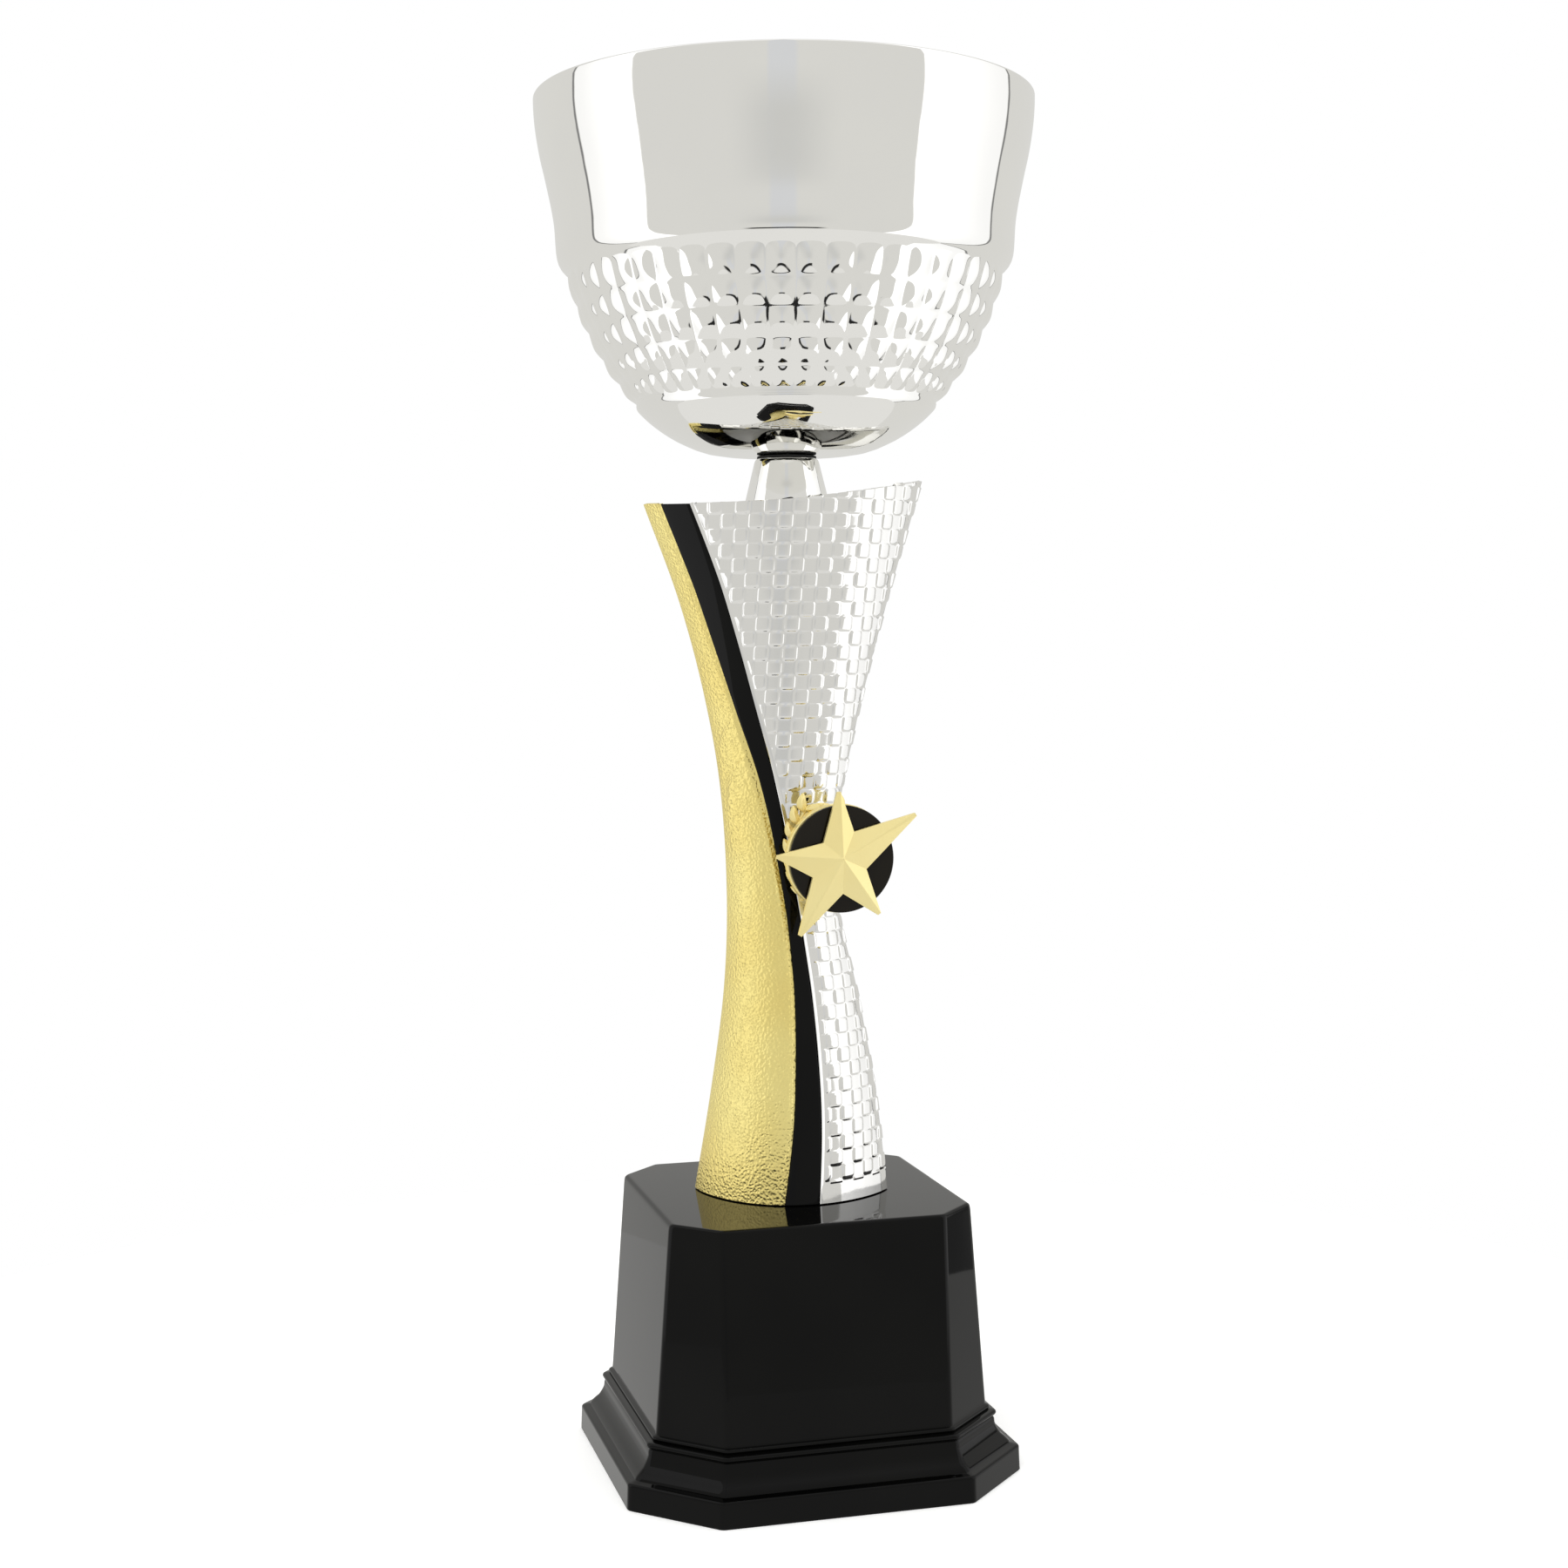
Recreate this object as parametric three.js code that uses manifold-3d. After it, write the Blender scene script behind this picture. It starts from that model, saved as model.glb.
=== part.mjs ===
// Column trophy: a chromed metal cup on a plated column and a gloss black base,
// clamped together by one tie rod from the base to the bowl.
// Millimetres, +Z up. The origin is the middle of the underside, and the front faces -Y.
import * as THREE from 'three';
import { mergeVertices } from 'three/addons/utils/BufferGeometryUtils.js';
import Module from 'manifold-3d';

const wasm = await Module();
wasm.setup();

// ---------------------------------------------------------------- driving sizes

const GAP = 0.3; // clearance kept between pieces that touch
const ROUND = 40; // facets round the cup
const SMALL_ROUND = 20; // facets round washers and other small turned pieces
const CONE_ROUND = 28;
const ROD_ROUND = 14; // facets round the rod and the badge screw
const NECK_ROUND = 16;
const HOLDER_ROUND = 32;
const DISC_ROUND = 36;

// Base: a square block with cut corners that tapers up from a moulded foot.
const BASE_HEIGHT = 65.5;
const BASE_TOP_HALF = 37.0; // half width of the top, across the flats
const BASE_TOP_CUT = 10.1; // leg of the corner cut at the top
const BODY_LOW = 16.0; // height where the plain body starts
const BODY_LOW_HALF = 40.7;
const BODY_LOW_CUT = 13.65;
const FOOT_HALF = 48.4;
const FOOT_CUT = 18.2;
const FOOT_HEIGHT = 6.3; // upright plinth under the mouldings
const TOP_EDGE = 1.0; // bevel of the top edge
const FOOT_EDGE = 0.6; // bevel of the plinth's upper edge
const PLINTH_DRAFT = 0.2; // the plinth leans in this much at its top
// Mouldings between plinth and body: how far out from and below the foot of the body.
const MOULDINGS = [
  [5.2, 8.7],
  [3.3, 7.0],
  [2.1, 4.4],
  [1.9, 2.6],
  [2.4, 2.0],
  [1.7, 1.3],
  [0.7, 1.1],
  [0.9, 0.6],
];
const BASE_WALL = 3.0;
const BASE_CEILING = 3.5;

// Ballast and pad inside the base.
const PAD_THICKNESS = 1.2;
const PAD_MARGIN = 0.3; // how far the pad keeps off the inner wall
const WEIGHT_HEIGHT = 27;
const WEIGHT_CLEARANCE = 0.6;
const POCKET_MARGIN = 2; // room round the washer in the pocket under the ballast

// Tie rod and its hardware.
const ROD_RADIUS = 2.9;
const ROD_CLEARANCE = 0.4; // between the rod and the holes it goes through
const ROD_PAD_CLEARANCE = 1.7; // between the pad and the rod's lower end
const ROD_STAND_OUT_LOW = 1.1; // rod showing past the lower nut
const ROD_STAND_OUT = 1.6; // rod showing past the upper nut
const NUT_FLATS = 10;
const NUT_HEIGHT = 5;
const WASHER_RADIUS = 9;
const WASHER_THICKNESS = 1.2;
const SPRING_WASHER_RADIUS = 5.2;
const SPRING_WASHER_THICKNESS = 1.5;
const SPRING_WASHER_SPLIT = 0.9;

// Column: a tube with a pointed oval section that is turned a little to the left of the base,
// and is slimmer and less turned towards the top.
// Its sizes are given against the share of its height.
const COLUMN_HEIGHT = 167.7; // at the low, left side of the top edge
const COLUMN_WALL = 1.8;
const SECTION_POINT = 1.5; // 1 is a plain oval, and more gives more pointed sides
// Degrees round from the front.
const SECTION_TURN = [
  [0, -18],
  [0.5, -18],
  [0.7, -17],
  [0.9, -14],
  [1.06, -12],
];
// Front to back over side to side.
const SECTION_DEPTH = [
  [0, 0.8],
  [0.25, 0.8],
  [0.4, 0.76],
  [0.5, 0.69],
  [0.6, 0.63],
  [0.75, 0.62],
  [1.06, 0.62],
];
// Reach each way along the section.
const LEFT_REACH = [
  [0, 24.2],
  [0.15, 19.9],
  [0.3, 16.5],
  [0.44, 15.6],
  [0.6, 17.1],
  [0.74, 21.1],
  [0.87, 26.8],
  [1, 34.6],
  [1.06, 38.2],
];
const RIGHT_REACH = [
  [0, 23.4],
  [0.15, 20.6],
  [0.3, 16.1],
  [0.4, 12.3],
  [0.49, 10.6],
  [0.59, 13.0],
  [0.74, 18.7],
  [0.87, 24.6],
  [1, 31.2],
  [1.06, 34.2],
];
const TOP_ARC_RADIUS = 229; // the top edge is one long hollow arc, seen from the front
const TOP_ARC_LOW = -18.3; // where along the section that arc is lowest
// Edges of the black band round the section, in degrees right of its own front.
const GOLD_EDGE = [
  [0, -1.3],
  [0.1, 2.5],
  [0.2, 4.5],
  [0.32, 6.3],
  [0.42, 5.9],
  [0.5, -1.2],
  [0.6, -18.1],
  [0.7, -36.6],
  [0.8, -49.2],
  [0.9, -56.4],
  [1, -61.5],
  [1.06, -64],
];
const SILVER_EDGE = [
  [0, 18.9],
  [0.1, 20.8],
  [0.2, 21.2],
  [0.32, 20.4],
  [0.42, 19],
  [0.5, 12.6],
  [0.6, -3.8],
  [0.7, -18.6],
  [0.8, -28.7],
  [0.9, -35.7],
  [1, -41.9],
  [1.06, -45.6],
];
const FLANGE_WIDTH = 3; // lip of the black band behind each neighbour
const FLANGE_THICKNESS = 1.2;
const COLUMN_RINGS = 16; // steps up the column
const SILVER_STEPS = 22; // steps round the silver panel
const GOLD_STEPS = 14;
const BAND_STEPS = 3;
const LIP_STEPS = 4;

// Seats inside the column.
const PLUG_THICKNESS = 4;
const PLUG_BOSS_RADIUS = 6.5;
const PLUG_BOSS_HEIGHT = 7;
const SEAT_DROP = 13.2; // top of the upper seat below the low side of the top edge
const SEAT_THICKNESS = 4;
const SEAT_POINTS = 24; // points round each plate's edge

// Stem between column and cup.
const STEM_HEIGHT = 24.0;
const STEM_FOOT_RADIUS = 13.6;
const STEM_TOP_RADIUS = 7.6;
const STEM_WALL = 1.4;
const GASKET_THICKNESS = 0.5;
const GASKET_RADIUS = 7.3;

// Cup: heights are above the underside of the bowl.
const CUP_RIM_RADIUS = 60;
const CUP_HEIGHT = 84.6;
const CUP_WALL = 1.0;
const RIM_ROUNDING = 0.5;
const CUP_FLAT_RADIUS = 10; // flat round the rod hole
// Radius and height of points on the plain pan under the studs.
const PAN = [
  [16.4, 0.25],
  [22.2, 1.6],
  [28.5, 4.7],
  [33.2, 8.1],
  [36.15, 11.2],
];
// Radius and height of the grooves under, between and over the five rows of studs.
const ROW_GROOVES = [
  [36.3, 12.7],
  [40.3, 17.5],
  [44.1, 23.2],
  [47.5, 29.65],
  [50.1, 35.9],
  [52.3, 43.3],
];
const ROW_STAND_OUT = 0.75; // how far the middle of a row stands out from the line of its grooves
const SHOULDER = [
  [54.0, 44.85],
  [54.8, 46.9],
];
const NECK = [55.2, 51.5]; // plain wall just above the shoulder
const FLARE_INSET = 1.5; // middle of the flare inside the rim
const FLARE_DROP = 14.2; // middle of the flare below the rim
const LIP_INSET = 0.3;
const LIP_DROP = 6;
const SEAL_RADIUS = 8;
const SEAL_THICKNESS = 1.0;

// Front badge: wreath, holder, disc and star. Heights are above the base top.
const BADGE_HEIGHT = 83.2; // centre of the disc
const DISC_X = 7.5;
const DISC_RADIUS = 12.85;
const DISC_THICKNESS = 1.2;
const DISC_STAND_OFF = 9.62; // disc's face in front of the column where it is deepest beside the wreath
const HOLDER_RADIUS = 13.05;
const HOLDER_THICKNESS = 2.6;
const HOLDER_EDGE = 0.4; // bevel of the holder's rim
const NECK_X = 4.2; // centre of the holder's neck
const NECK_RINGS = 6; // steps up the patch of column that the neck is shaped to
const NECK_RING_POINTS = 48;
const NECK_OVERLAP = 1; // how far the neck runs into the holder before they are joined
const BADGE_NECK_RADIUS = 3.9;
const PAD_INSET = 1.2; // adhesive pads are this much smaller than what they hold
const ADHESIVE = 0.4;
const SCREW_RADIUS = 1.25;
const SCREW_HOLE = SCREW_RADIUS + 0.3;
const SCREW_HEAD_RADIUS = 2.6;
const SCREW_HEAD_HEIGHT = 1.4;
const SCREW_LENGTH = 14.5;
const SCREW_POINT = 1;
const SCREW_SINK = 0.15; // head below the holder's face
const WREATH_X = 4.2; // centre of the wreath
const WREATH_RISE = 2.3; // centre of the wreath above the disc's
const WREATH_HALF_WIDTH = 6.5; // to the stalks
const WREATH_HALF_HEIGHT = 11.6;
const WREATH_STRIP = 1.3; // width of the stalks
const WREATH_THICKNESS = 1.5;
const WREATH_BEHIND = 1.1; // gap between the holder and the wreath
const WREATH_LEAVES = 8; // leaves on each branch
const WREATH_STEPS = 16; // steps round the stalks
const WREATH_OPENING = 26; // degrees left open each side of the top
const WREATH_HUB = 1.6; // width of the ring round the holder's neck
const WREATH_ARM = 2.4; // height of the arm that joins ring and stalks
const LEAF_LENGTH = 4.8;
const LEAF_WIDTH = 2.2;
const LEAF_LEAN = 28; // degrees outwards from the stalk
const LEAF_REACH = 0.05; // radians round the oval that show which way a branch grows
const LEAF_START = 0.4; // the first leaf starts this share of a step up the stalk
const LEAF_FREE_END = 0.2; // radians at the end of a branch where no leaf starts
// Outline of a leaf, in lengths along it and half widths across it.
const LEAF_OUTLINE = [
  [0, 0],
  [0.35, -1],
  [0.7, -0.7],
  [1, 0],
  [0.7, 0.7],
  [0.35, 1],
];

// Star: radius and angle of each tip and notch, anticlockwise from the right-hand tip.
const STAR_TIPS = [
  [20.6, 30],
  [16.2, 94.5],
  [16.6, 176],
  [20.9, 238],
  [15.8, 303],
];
const STAR_NOTCHES = [
  [7.0, 70],
  [6.6, 141],
  [8.8, 207],
  [8.1, 267],
  [5.9, 336],
];
const STAR_EDGE = 0.9; // height of the star's side walls
const STAR_RISE = 2.6; // the ridges climb this much above them
const STAR_PEAK = [-0.95, 0.4]; // where the ridges meet, across and up from the disc's centre
const STAR_TIP_WIDTH = 0.35; // half width of each blunt tip
const STAR_PAD_RADIUS = 4.2;

// ---------------------------------------------------------------- derived places

const TURN = Math.PI * 2;
const UP = new THREE.Vector3(0, 0, 1);
const radians = THREE.MathUtils.degToRad;
const WEIGHT_BOTTOM = PAD_THICKNESS + GAP;
const ROD_HOLE = ROD_RADIUS + ROD_CLEARANCE;
const ROD_END_LOW = PAD_THICKNESS + ROD_PAD_CLEARANCE;
const BASE_NUT_LOW = ROD_END_LOW + ROD_STAND_OUT_LOW;
const SPRING_WASHER_LOW = BASE_NUT_LOW + NUT_HEIGHT + GAP;
const BASE_WASHER_LOW = SPRING_WASHER_LOW + SPRING_WASHER_THICKNESS + GAP;
const POCKET_TOP = BASE_WASHER_LOW + WASHER_THICKNESS + GAP;
const POCKET_RADIUS = WASHER_RADIUS + POCKET_MARGIN;
const COLUMN_LOW = BASE_HEIGHT + GAP;
const SEAT_TOP = BASE_HEIGHT + COLUMN_HEIGHT - SEAT_DROP;
const STEM_LOW = SEAT_TOP + GAP;
const STEM_TOP = STEM_LOW + STEM_HEIGHT;
const GASKET_LOW = STEM_TOP + GAP;
const CUP_LOW = GASKET_LOW + GASKET_THICKNESS + GAP;
const SEAL_LOW = CUP_LOW + CUP_WALL + GAP;
const BOWL_WASHER_LOW = SEAL_LOW + SEAL_THICKNESS + GAP;
const BOWL_NUT_LOW = BOWL_WASHER_LOW + WASHER_THICKNESS + GAP;
const ROD_END_HIGH = BOWL_NUT_LOW + NUT_HEIGHT + ROD_STAND_OUT;
const BADGE_Z = BASE_HEIGHT + BADGE_HEIGHT;
const WREATH_Z = BADGE_Z + WREATH_RISE;
const WREATH_REACH = WREATH_HALF_HEIGHT + LEAF_LENGTH;
const DEPTHS_BESIDE = [WREATH_Z - WREATH_REACH, WREATH_Z + WREATH_REACH].map((z) => section(z).depth);
const DISC_FRONT = Math.max(...DEPTHS_BESIDE) + DISC_STAND_OFF;
const DISC_BACK = DISC_FRONT - DISC_THICKNESS;
const HOLDER_FRONT = DISC_BACK - ADHESIVE - 2 * GAP;
const HOLDER_BACK = HOLDER_FRONT - HOLDER_THICKNESS;
const WREATH_FRONT = HOLDER_BACK - WREATH_BEHIND;
const STAR_BACK = DISC_FRONT + ADHESIVE + 2 * GAP;

// ---------------------------------------------------------------- shape helpers

// Smooth value at a share of the height, through a list of [share, value] points.
function along(points, share) {
  let i = 0;
  while (i < points.length - 2 && share > points[i + 1][0]) i += 1;
  const slope = (k) => {
    const before = points[Math.max(k - 1, 0)];
    const after = points[Math.min(k + 1, points.length - 1)];
    return (after[1] - before[1]) / (after[0] - before[0]);
  };
  const [start, from] = points[i];
  const [end, to] = points[i + 1];
  const span = end - start;
  const u = (share - start) / span;
  const blend = u * u * (3 - 2 * u);
  const leave = u * (1 - u) * (1 - u) * span * slope(i);
  const arrive = u * u * (1 - u) * span * slope(i + 1);
  return from + (to - from) * blend + leave - arrive;
}

// Skin over rings that have the same number of points, anticlockwise and rising on the outside.
// A closed stack joins its last ring to its first; an open one gets an end face at each end.
function skin(rings, closed) {
  const count = rings[0].length;
  const index = [];
  const spans = closed ? rings.length : rings.length - 1;
  for (let i = 0; i < spans; i += 1) {
    const low = i * count;
    const high = ((i + 1) % rings.length) * count;
    for (let k = 0; k < count; k += 1) {
      const next = (k + 1) % count;
      index.push(low + k, low + next, high + next);
      index.push(low + k, high + next, high + k);
    }
  }
  if (!closed) {
    const top = (rings.length - 1) * count;
    const flat = (ring) => ring.map((p) => new THREE.Vector2(p.x, p.y));
    for (const [a, b, c] of THREE.ShapeUtils.triangulateShape(flat(rings[0]), [])) {
      index.push(c, b, a);
    }
    for (const [a, b, c] of THREE.ShapeUtils.triangulateShape(flat(rings.at(-1)), [])) {
      index.push(top + a, top + b, top + c);
    }
  }
  const geometry = new THREE.BufferGeometry().setFromPoints(rings.flat());
  geometry.setIndex(index);
  return geometry;
}

// Eight-sided ring with three points to a side: half is half the width, cut the corner's leg.
function octagon(half, cut, z) {
  const flat = half - cut;
  const corners = [
    [flat, -half], [half, -flat], [half, flat], [flat, half],
    [-flat, half], [-half, flat], [-half, -flat], [-flat, -half],
  ];
  return corners.flatMap(([x, y], i) => {
    const [nextX, nextY] = corners[(i + 1) % corners.length];
    const at = (u) => new THREE.Vector3(x + (nextX - x) * u, y + (nextY - y) * u, z);
    return [at(0), at(1 / 3), at(2 / 3)];
  });
}

// Round ring whose points lie in the same directions as those of another ring.
function circleLike(ring, radius, z) {
  return ring.map((p) => {
    const reach = radius / Math.hypot(p.x, p.y);
    return new THREE.Vector3(p.x * reach, p.y * reach, z);
  });
}

// Turned body about Z from a closed profile of [radius, height] points, with the material on
// the left as the profile runs.
function turned(profile, facets) {
  const points = [...profile, profile[0]].map(([r, z]) => new THREE.Vector2(r, z));
  const geometry = new THREE.LatheGeometry(points, facets);
  geometry.rotateX(Math.PI / 2);
  return clean(geometry);
}

// Flat ring about Z.
function washer(inner, outer, low, thickness) {
  const high = low + thickness;
  return turned([[inner, low], [outer, low], [outer, high], [inner, high]], SMALL_ROUND);
}

// Geometry with only positions, its shared corners merged.
function clean(geometry) {
  const bare = geometry.clone();
  bare.deleteAttribute('normal');
  bare.deleteAttribute('uv');
  return mergeVertices(bare, 1e-4);
}

// Closed mesh as a solid for cutting and joining.
function solid(geometry) {
  const merged = clean(geometry);
  return new wasm.Manifold(new wasm.Mesh({
    numProp: 3,
    vertProperties: new Float32Array(merged.attributes.position.array),
    triVerts: new Uint32Array(merged.index.array),
  }));
}

function geometryOf(body) {
  const mesh = body.getMesh();
  const geometry = new THREE.BufferGeometry();
  geometry.setAttribute('position', new THREE.BufferAttribute(mesh.vertProperties, 3));
  geometry.setIndex(new THREE.BufferAttribute(mesh.triVerts, 1));
  return geometry;
}

// Upright outline in X and Z, made solid from one depth to another in front of the rod.
function frontPlate(outline, back, front) {
  const shape = new THREE.Shape(outline.map(([x, z]) => new THREE.Vector2(x, z)));
  const options = { depth: front - back, bevelEnabled: false, curveSegments: 1 };
  const geometry = new THREE.ExtrudeGeometry(shape, options);
  geometry.rotateX(Math.PI / 2);
  geometry.translate(0, -back, 0);
  return geometry;
}

// Turned body about an axis that points to the front, from [radius, distance to the front].
function facing(profile, x, z, facets) {
  const geometry = turned(profile, facets);
  geometry.rotateX(Math.PI / 2);
  geometry.translate(x, 0, z);
  return geometry;
}

function hexagon(acrossFlats) {
  const radius = acrossFlats / Math.sqrt(3);
  const shape = new THREE.Shape();
  for (let i = 0; i < 6; i += 1) {
    const angle = (TURN * i) / 6;
    const move = i === 0 ? 'moveTo' : 'lineTo';
    shape[move](radius * Math.cos(angle), radius * Math.sin(angle));
  }
  shape.closePath();
  return shape;
}

function nut(low) {
  const shape = hexagon(NUT_FLATS);
  shape.holes.push(new THREE.Path().absarc(0, 0, ROD_RADIUS + GAP, 0, TURN, true));
  const options = { depth: NUT_HEIGHT, bevelEnabled: false, curveSegments: SMALL_ROUND };
  const geometry = new THREE.ExtrudeGeometry(shape, options);
  geometry.translate(0, 0, low);
  return geometry;
}

// ---------------------------------------------------------------- base

// Corner cut at a half width: it narrows up the body and widens down the foot.
function cutAt(half) {
  const onFoot = half > BODY_LOW_HALF;
  const [nearHalf, nearCut] = [BODY_LOW_HALF, BODY_LOW_CUT];
  const [farHalf, farCut] = onFoot ? [FOOT_HALF, FOOT_CUT] : [BASE_TOP_HALF, BASE_TOP_CUT];
  return nearCut + ((farCut - nearCut) * (half - nearHalf)) / (farHalf - nearHalf);
}

// Ring set inside the outer face by a wall measured square to every side.
function innerOctagon(half, wall, z) {
  const cornerLoss = (2 - Math.SQRT2) * wall;
  return octagon(half - wall, cutAt(half) - cornerLoss, z);
}

function bodyHalf(z) {
  const share = (z - BODY_LOW) / (BASE_HEIGHT - BODY_LOW);
  return BODY_LOW_HALF + (BASE_TOP_HALF - BODY_LOW_HALF) * share;
}

function baseShell() {
  const outline = [
    [FOOT_HALF, 0],
    [FOOT_HALF - PLINTH_DRAFT, FOOT_HEIGHT - FOOT_EDGE],
    [FOOT_HALF - PLINTH_DRAFT - FOOT_EDGE, FOOT_HEIGHT],
    ...MOULDINGS.map(([out, down]) => [BODY_LOW_HALF + out, BODY_LOW - down]),
    [BODY_LOW_HALF, BODY_LOW],
    [BASE_TOP_HALF, BASE_HEIGHT - TOP_EDGE],
    [BASE_TOP_HALF - TOP_EDGE, BASE_HEIGHT],
  ];
  const outer = outline.map(([half, z]) => octagon(half, cutAt(half), z));
  const ceiling = BASE_HEIGHT - BASE_CEILING;
  const innerTop = innerOctagon(bodyHalf(ceiling), BASE_WALL, ceiling);
  const rings = [
    ...outer,
    circleLike(innerTop, ROD_HOLE, BASE_HEIGHT),
    circleLike(innerTop, ROD_HOLE, ceiling),
    innerTop,
    innerOctagon(BODY_LOW_HALF, BASE_WALL, BODY_LOW),
    innerOctagon(FOOT_HALF, BASE_WALL, FOOT_HEIGHT),
    innerOctagon(FOOT_HALF, BASE_WALL, 0),
  ];
  return skin(rings, true);
}

function baseWeight() {
  const wall = BASE_WALL + WEIGHT_CLEARANCE;
  const top = WEIGHT_BOTTOM + WEIGHT_HEIGHT;
  const low = innerOctagon(FOOT_HALF, wall, WEIGHT_BOTTOM);
  const rings = [
    low,
    innerOctagon(FOOT_HALF, wall, FOOT_HEIGHT - WEIGHT_CLEARANCE),
    innerOctagon(BODY_LOW_HALF, wall, BODY_LOW),
    innerOctagon(bodyHalf(top), wall, top),
    circleLike(low, ROD_HOLE, top),
    circleLike(low, ROD_HOLE, POCKET_TOP),
    circleLike(low, POCKET_RADIUS, POCKET_TOP),
    circleLike(low, POCKET_RADIUS, WEIGHT_BOTTOM),
  ];
  return skin(rings, true);
}

function basePad() {
  const wall = BASE_WALL + PAD_MARGIN;
  const ring = (z) => innerOctagon(FOOT_HALF, wall, z);
  return skin([ring(0), ring(PAD_THICKNESS)], false);
}

function springWasher() {
  const shape = new THREE.Shape();
  const half = SPRING_WASHER_SPLIT / 2;
  const outer = Math.asin(half / SPRING_WASHER_RADIUS);
  const inner = Math.asin(half / ROD_HOLE);
  shape.absarc(0, 0, SPRING_WASHER_RADIUS, outer, TURN - outer, false);
  shape.absarc(0, 0, ROD_HOLE, TURN - inner, inner, true);
  shape.closePath();
  const depth = SPRING_WASHER_THICKNESS;
  const options = { depth, bevelEnabled: false, curveSegments: SMALL_ROUND };
  const geometry = new THREE.ExtrudeGeometry(shape, options);
  geometry.translate(0, 0, SPRING_WASHER_LOW);
  return geometry;
}

// ---------------------------------------------------------------- column

function shareAt(z) {
  return (z - BASE_HEIGHT) / COLUMN_HEIGHT;
}

// Half length, half depth and centre of the outer oval at a height.
function section(z) {
  const left = along(LEFT_REACH, shareAt(z));
  const right = along(RIGHT_REACH, shareAt(z));
  const length = (left + right) / 2;
  const depth = length * along(SECTION_DEPTH, shareAt(z));
  return { length, depth, centre: (right - left) / 2 };
}

// How far along the section's own length a point lies, at an angle right of its front.
function acrossSection(angle, z, inset) {
  const { length, centre } = section(z);
  return centre + (length - inset) * Math.sin(angle);
}

// Point on the oval, set in by a distance, at an angle in radians right of its front.
function columnPoint(angle, z, inset) {
  const { depth } = section(z);
  const ahead = Math.cos(angle);
  const behind = -(depth - inset) * Math.sign(ahead) * Math.abs(ahead) ** SECTION_POINT;
  const across = acrossSection(angle, z, inset);
  const turn = radians(along(SECTION_TURN, shareAt(z)));
  return new THREE.Vector3(across, behind, z).applyAxisAngle(UP, turn);
}

// Height of the top edge above a point that lies this far along the section.
function topEdge(across) {
  const off = across - TOP_ARC_LOW;
  const low = BASE_HEIGHT + COLUMN_HEIGHT;
  return low + TOP_ARC_RADIUS - Math.sqrt(TOP_ARC_RADIUS ** 2 - off ** 2);
}

// Angle that a distance along the oval's surface takes up, at an angle and a height.
function angleFor(distance, angle, z) {
  const { length, depth } = section(z);
  const ahead = Math.abs(Math.cos(angle));
  const sway = depth * SECTION_POINT * ahead ** (SECTION_POINT - 1) * Math.sin(angle);
  return distance / Math.hypot(length * ahead, sway);
}

const goldEdge = (z) => radians(along(GOLD_EDGE, shareAt(z)));
const silverEdge = (z) => radians(along(SILVER_EDGE, shareAt(z)));
const mirrored = (edge) => (z) => Math.PI - edge(z);
// An edge moved round the section by a distance.
const moved = (edge, by) => (z) => edge(z) + angleFor(by, edge(z), z);

// One upright line of the column from foot to top: share is how far it lies between two edges.
function upright(from, to, share, inset) {
  const angle = (z) => from(z) + (to(z) - from(z)) * share;
  let top = BASE_HEIGHT + COLUMN_HEIGHT;
  for (let i = 0; i < 8; i += 1) top = topEdge(acrossSection(angle(top), top, inset));
  return Array.from({ length: COLUMN_RINGS + 1 }, (_, i) => {
    const z = COLUMN_LOW + ((top - COLUMN_LOW) * i) / COLUMN_RINGS;
    return columnPoint(angle(z), z, inset);
  });
}

// Uprights spread between two edges at one depth in the wall.
function uprights(from, to, steps, inset) {
  return Array.from({ length: steps + 1 }, (_, i) => upright(from, to, i / steps, inset));
}

// Solid whose section, at every ring, runs through the given uprights in order.
function columnPiece(lines) {
  const rings = Array.from({ length: COLUMN_RINGS + 1 }, (_, i) => lines.map((line) => line[i]));
  return skin(rings, false);
}

// Wall panel between two edges.
function panel(from, to, steps) {
  const a = moved(from, GAP / 2);
  const b = moved(to, -GAP / 2);
  return columnPiece([...uprights(a, b, steps, 0), ...uprights(a, b, steps, COLUMN_WALL).reverse()]);
}

// Black band: a strip of the wall with a wider lip behind it.
function band(from, to) {
  const lipFront = COLUMN_WALL + GAP;
  const lipBack = lipFront + FLANGE_THICKNESS;
  const a = moved(from, GAP / 2);
  const b = moved(to, -GAP / 2);
  const wideA = moved(from, -FLANGE_WIDTH);
  const wideB = moved(to, FLANGE_WIDTH);
  return columnPiece([
    ...uprights(a, b, BAND_STEPS, 0),
    upright(a, b, 1, lipFront),
    upright(wideA, wideB, 1, lipFront),
    ...uprights(wideA, wideB, LIP_STEPS, lipBack).reverse(),
    upright(wideA, wideB, 0, lipFront),
    upright(a, b, 0, lipFront),
  ]);
}

// Oval ring that fits inside the column behind the bands' lips.
function insideRing(z) {
  const inset = COLUMN_WALL + GAP + FLANGE_THICKNESS + GAP;
  return Array.from({ length: SEAT_POINTS }, (_, i) => {
    return columnPoint((TURN * i) / SEAT_POINTS, z, inset);
  });
}

// Foot plug: it centres the column's foot, and its boss stands up round the rod.
function footPlug() {
  const high = COLUMN_LOW + PLUG_THICKNESS;
  const bottom = insideRing(COLUMN_LOW);
  const rings = [
    bottom,
    insideRing(high),
    circleLike(bottom, PLUG_BOSS_RADIUS, high),
    circleLike(bottom, PLUG_BOSS_RADIUS, high + PLUG_BOSS_HEIGHT),
    circleLike(bottom, ROD_HOLE, high + PLUG_BOSS_HEIGHT),
    circleLike(bottom, ROD_HOLE, COLUMN_LOW),
  ];
  return skin(rings, true);
}

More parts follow.
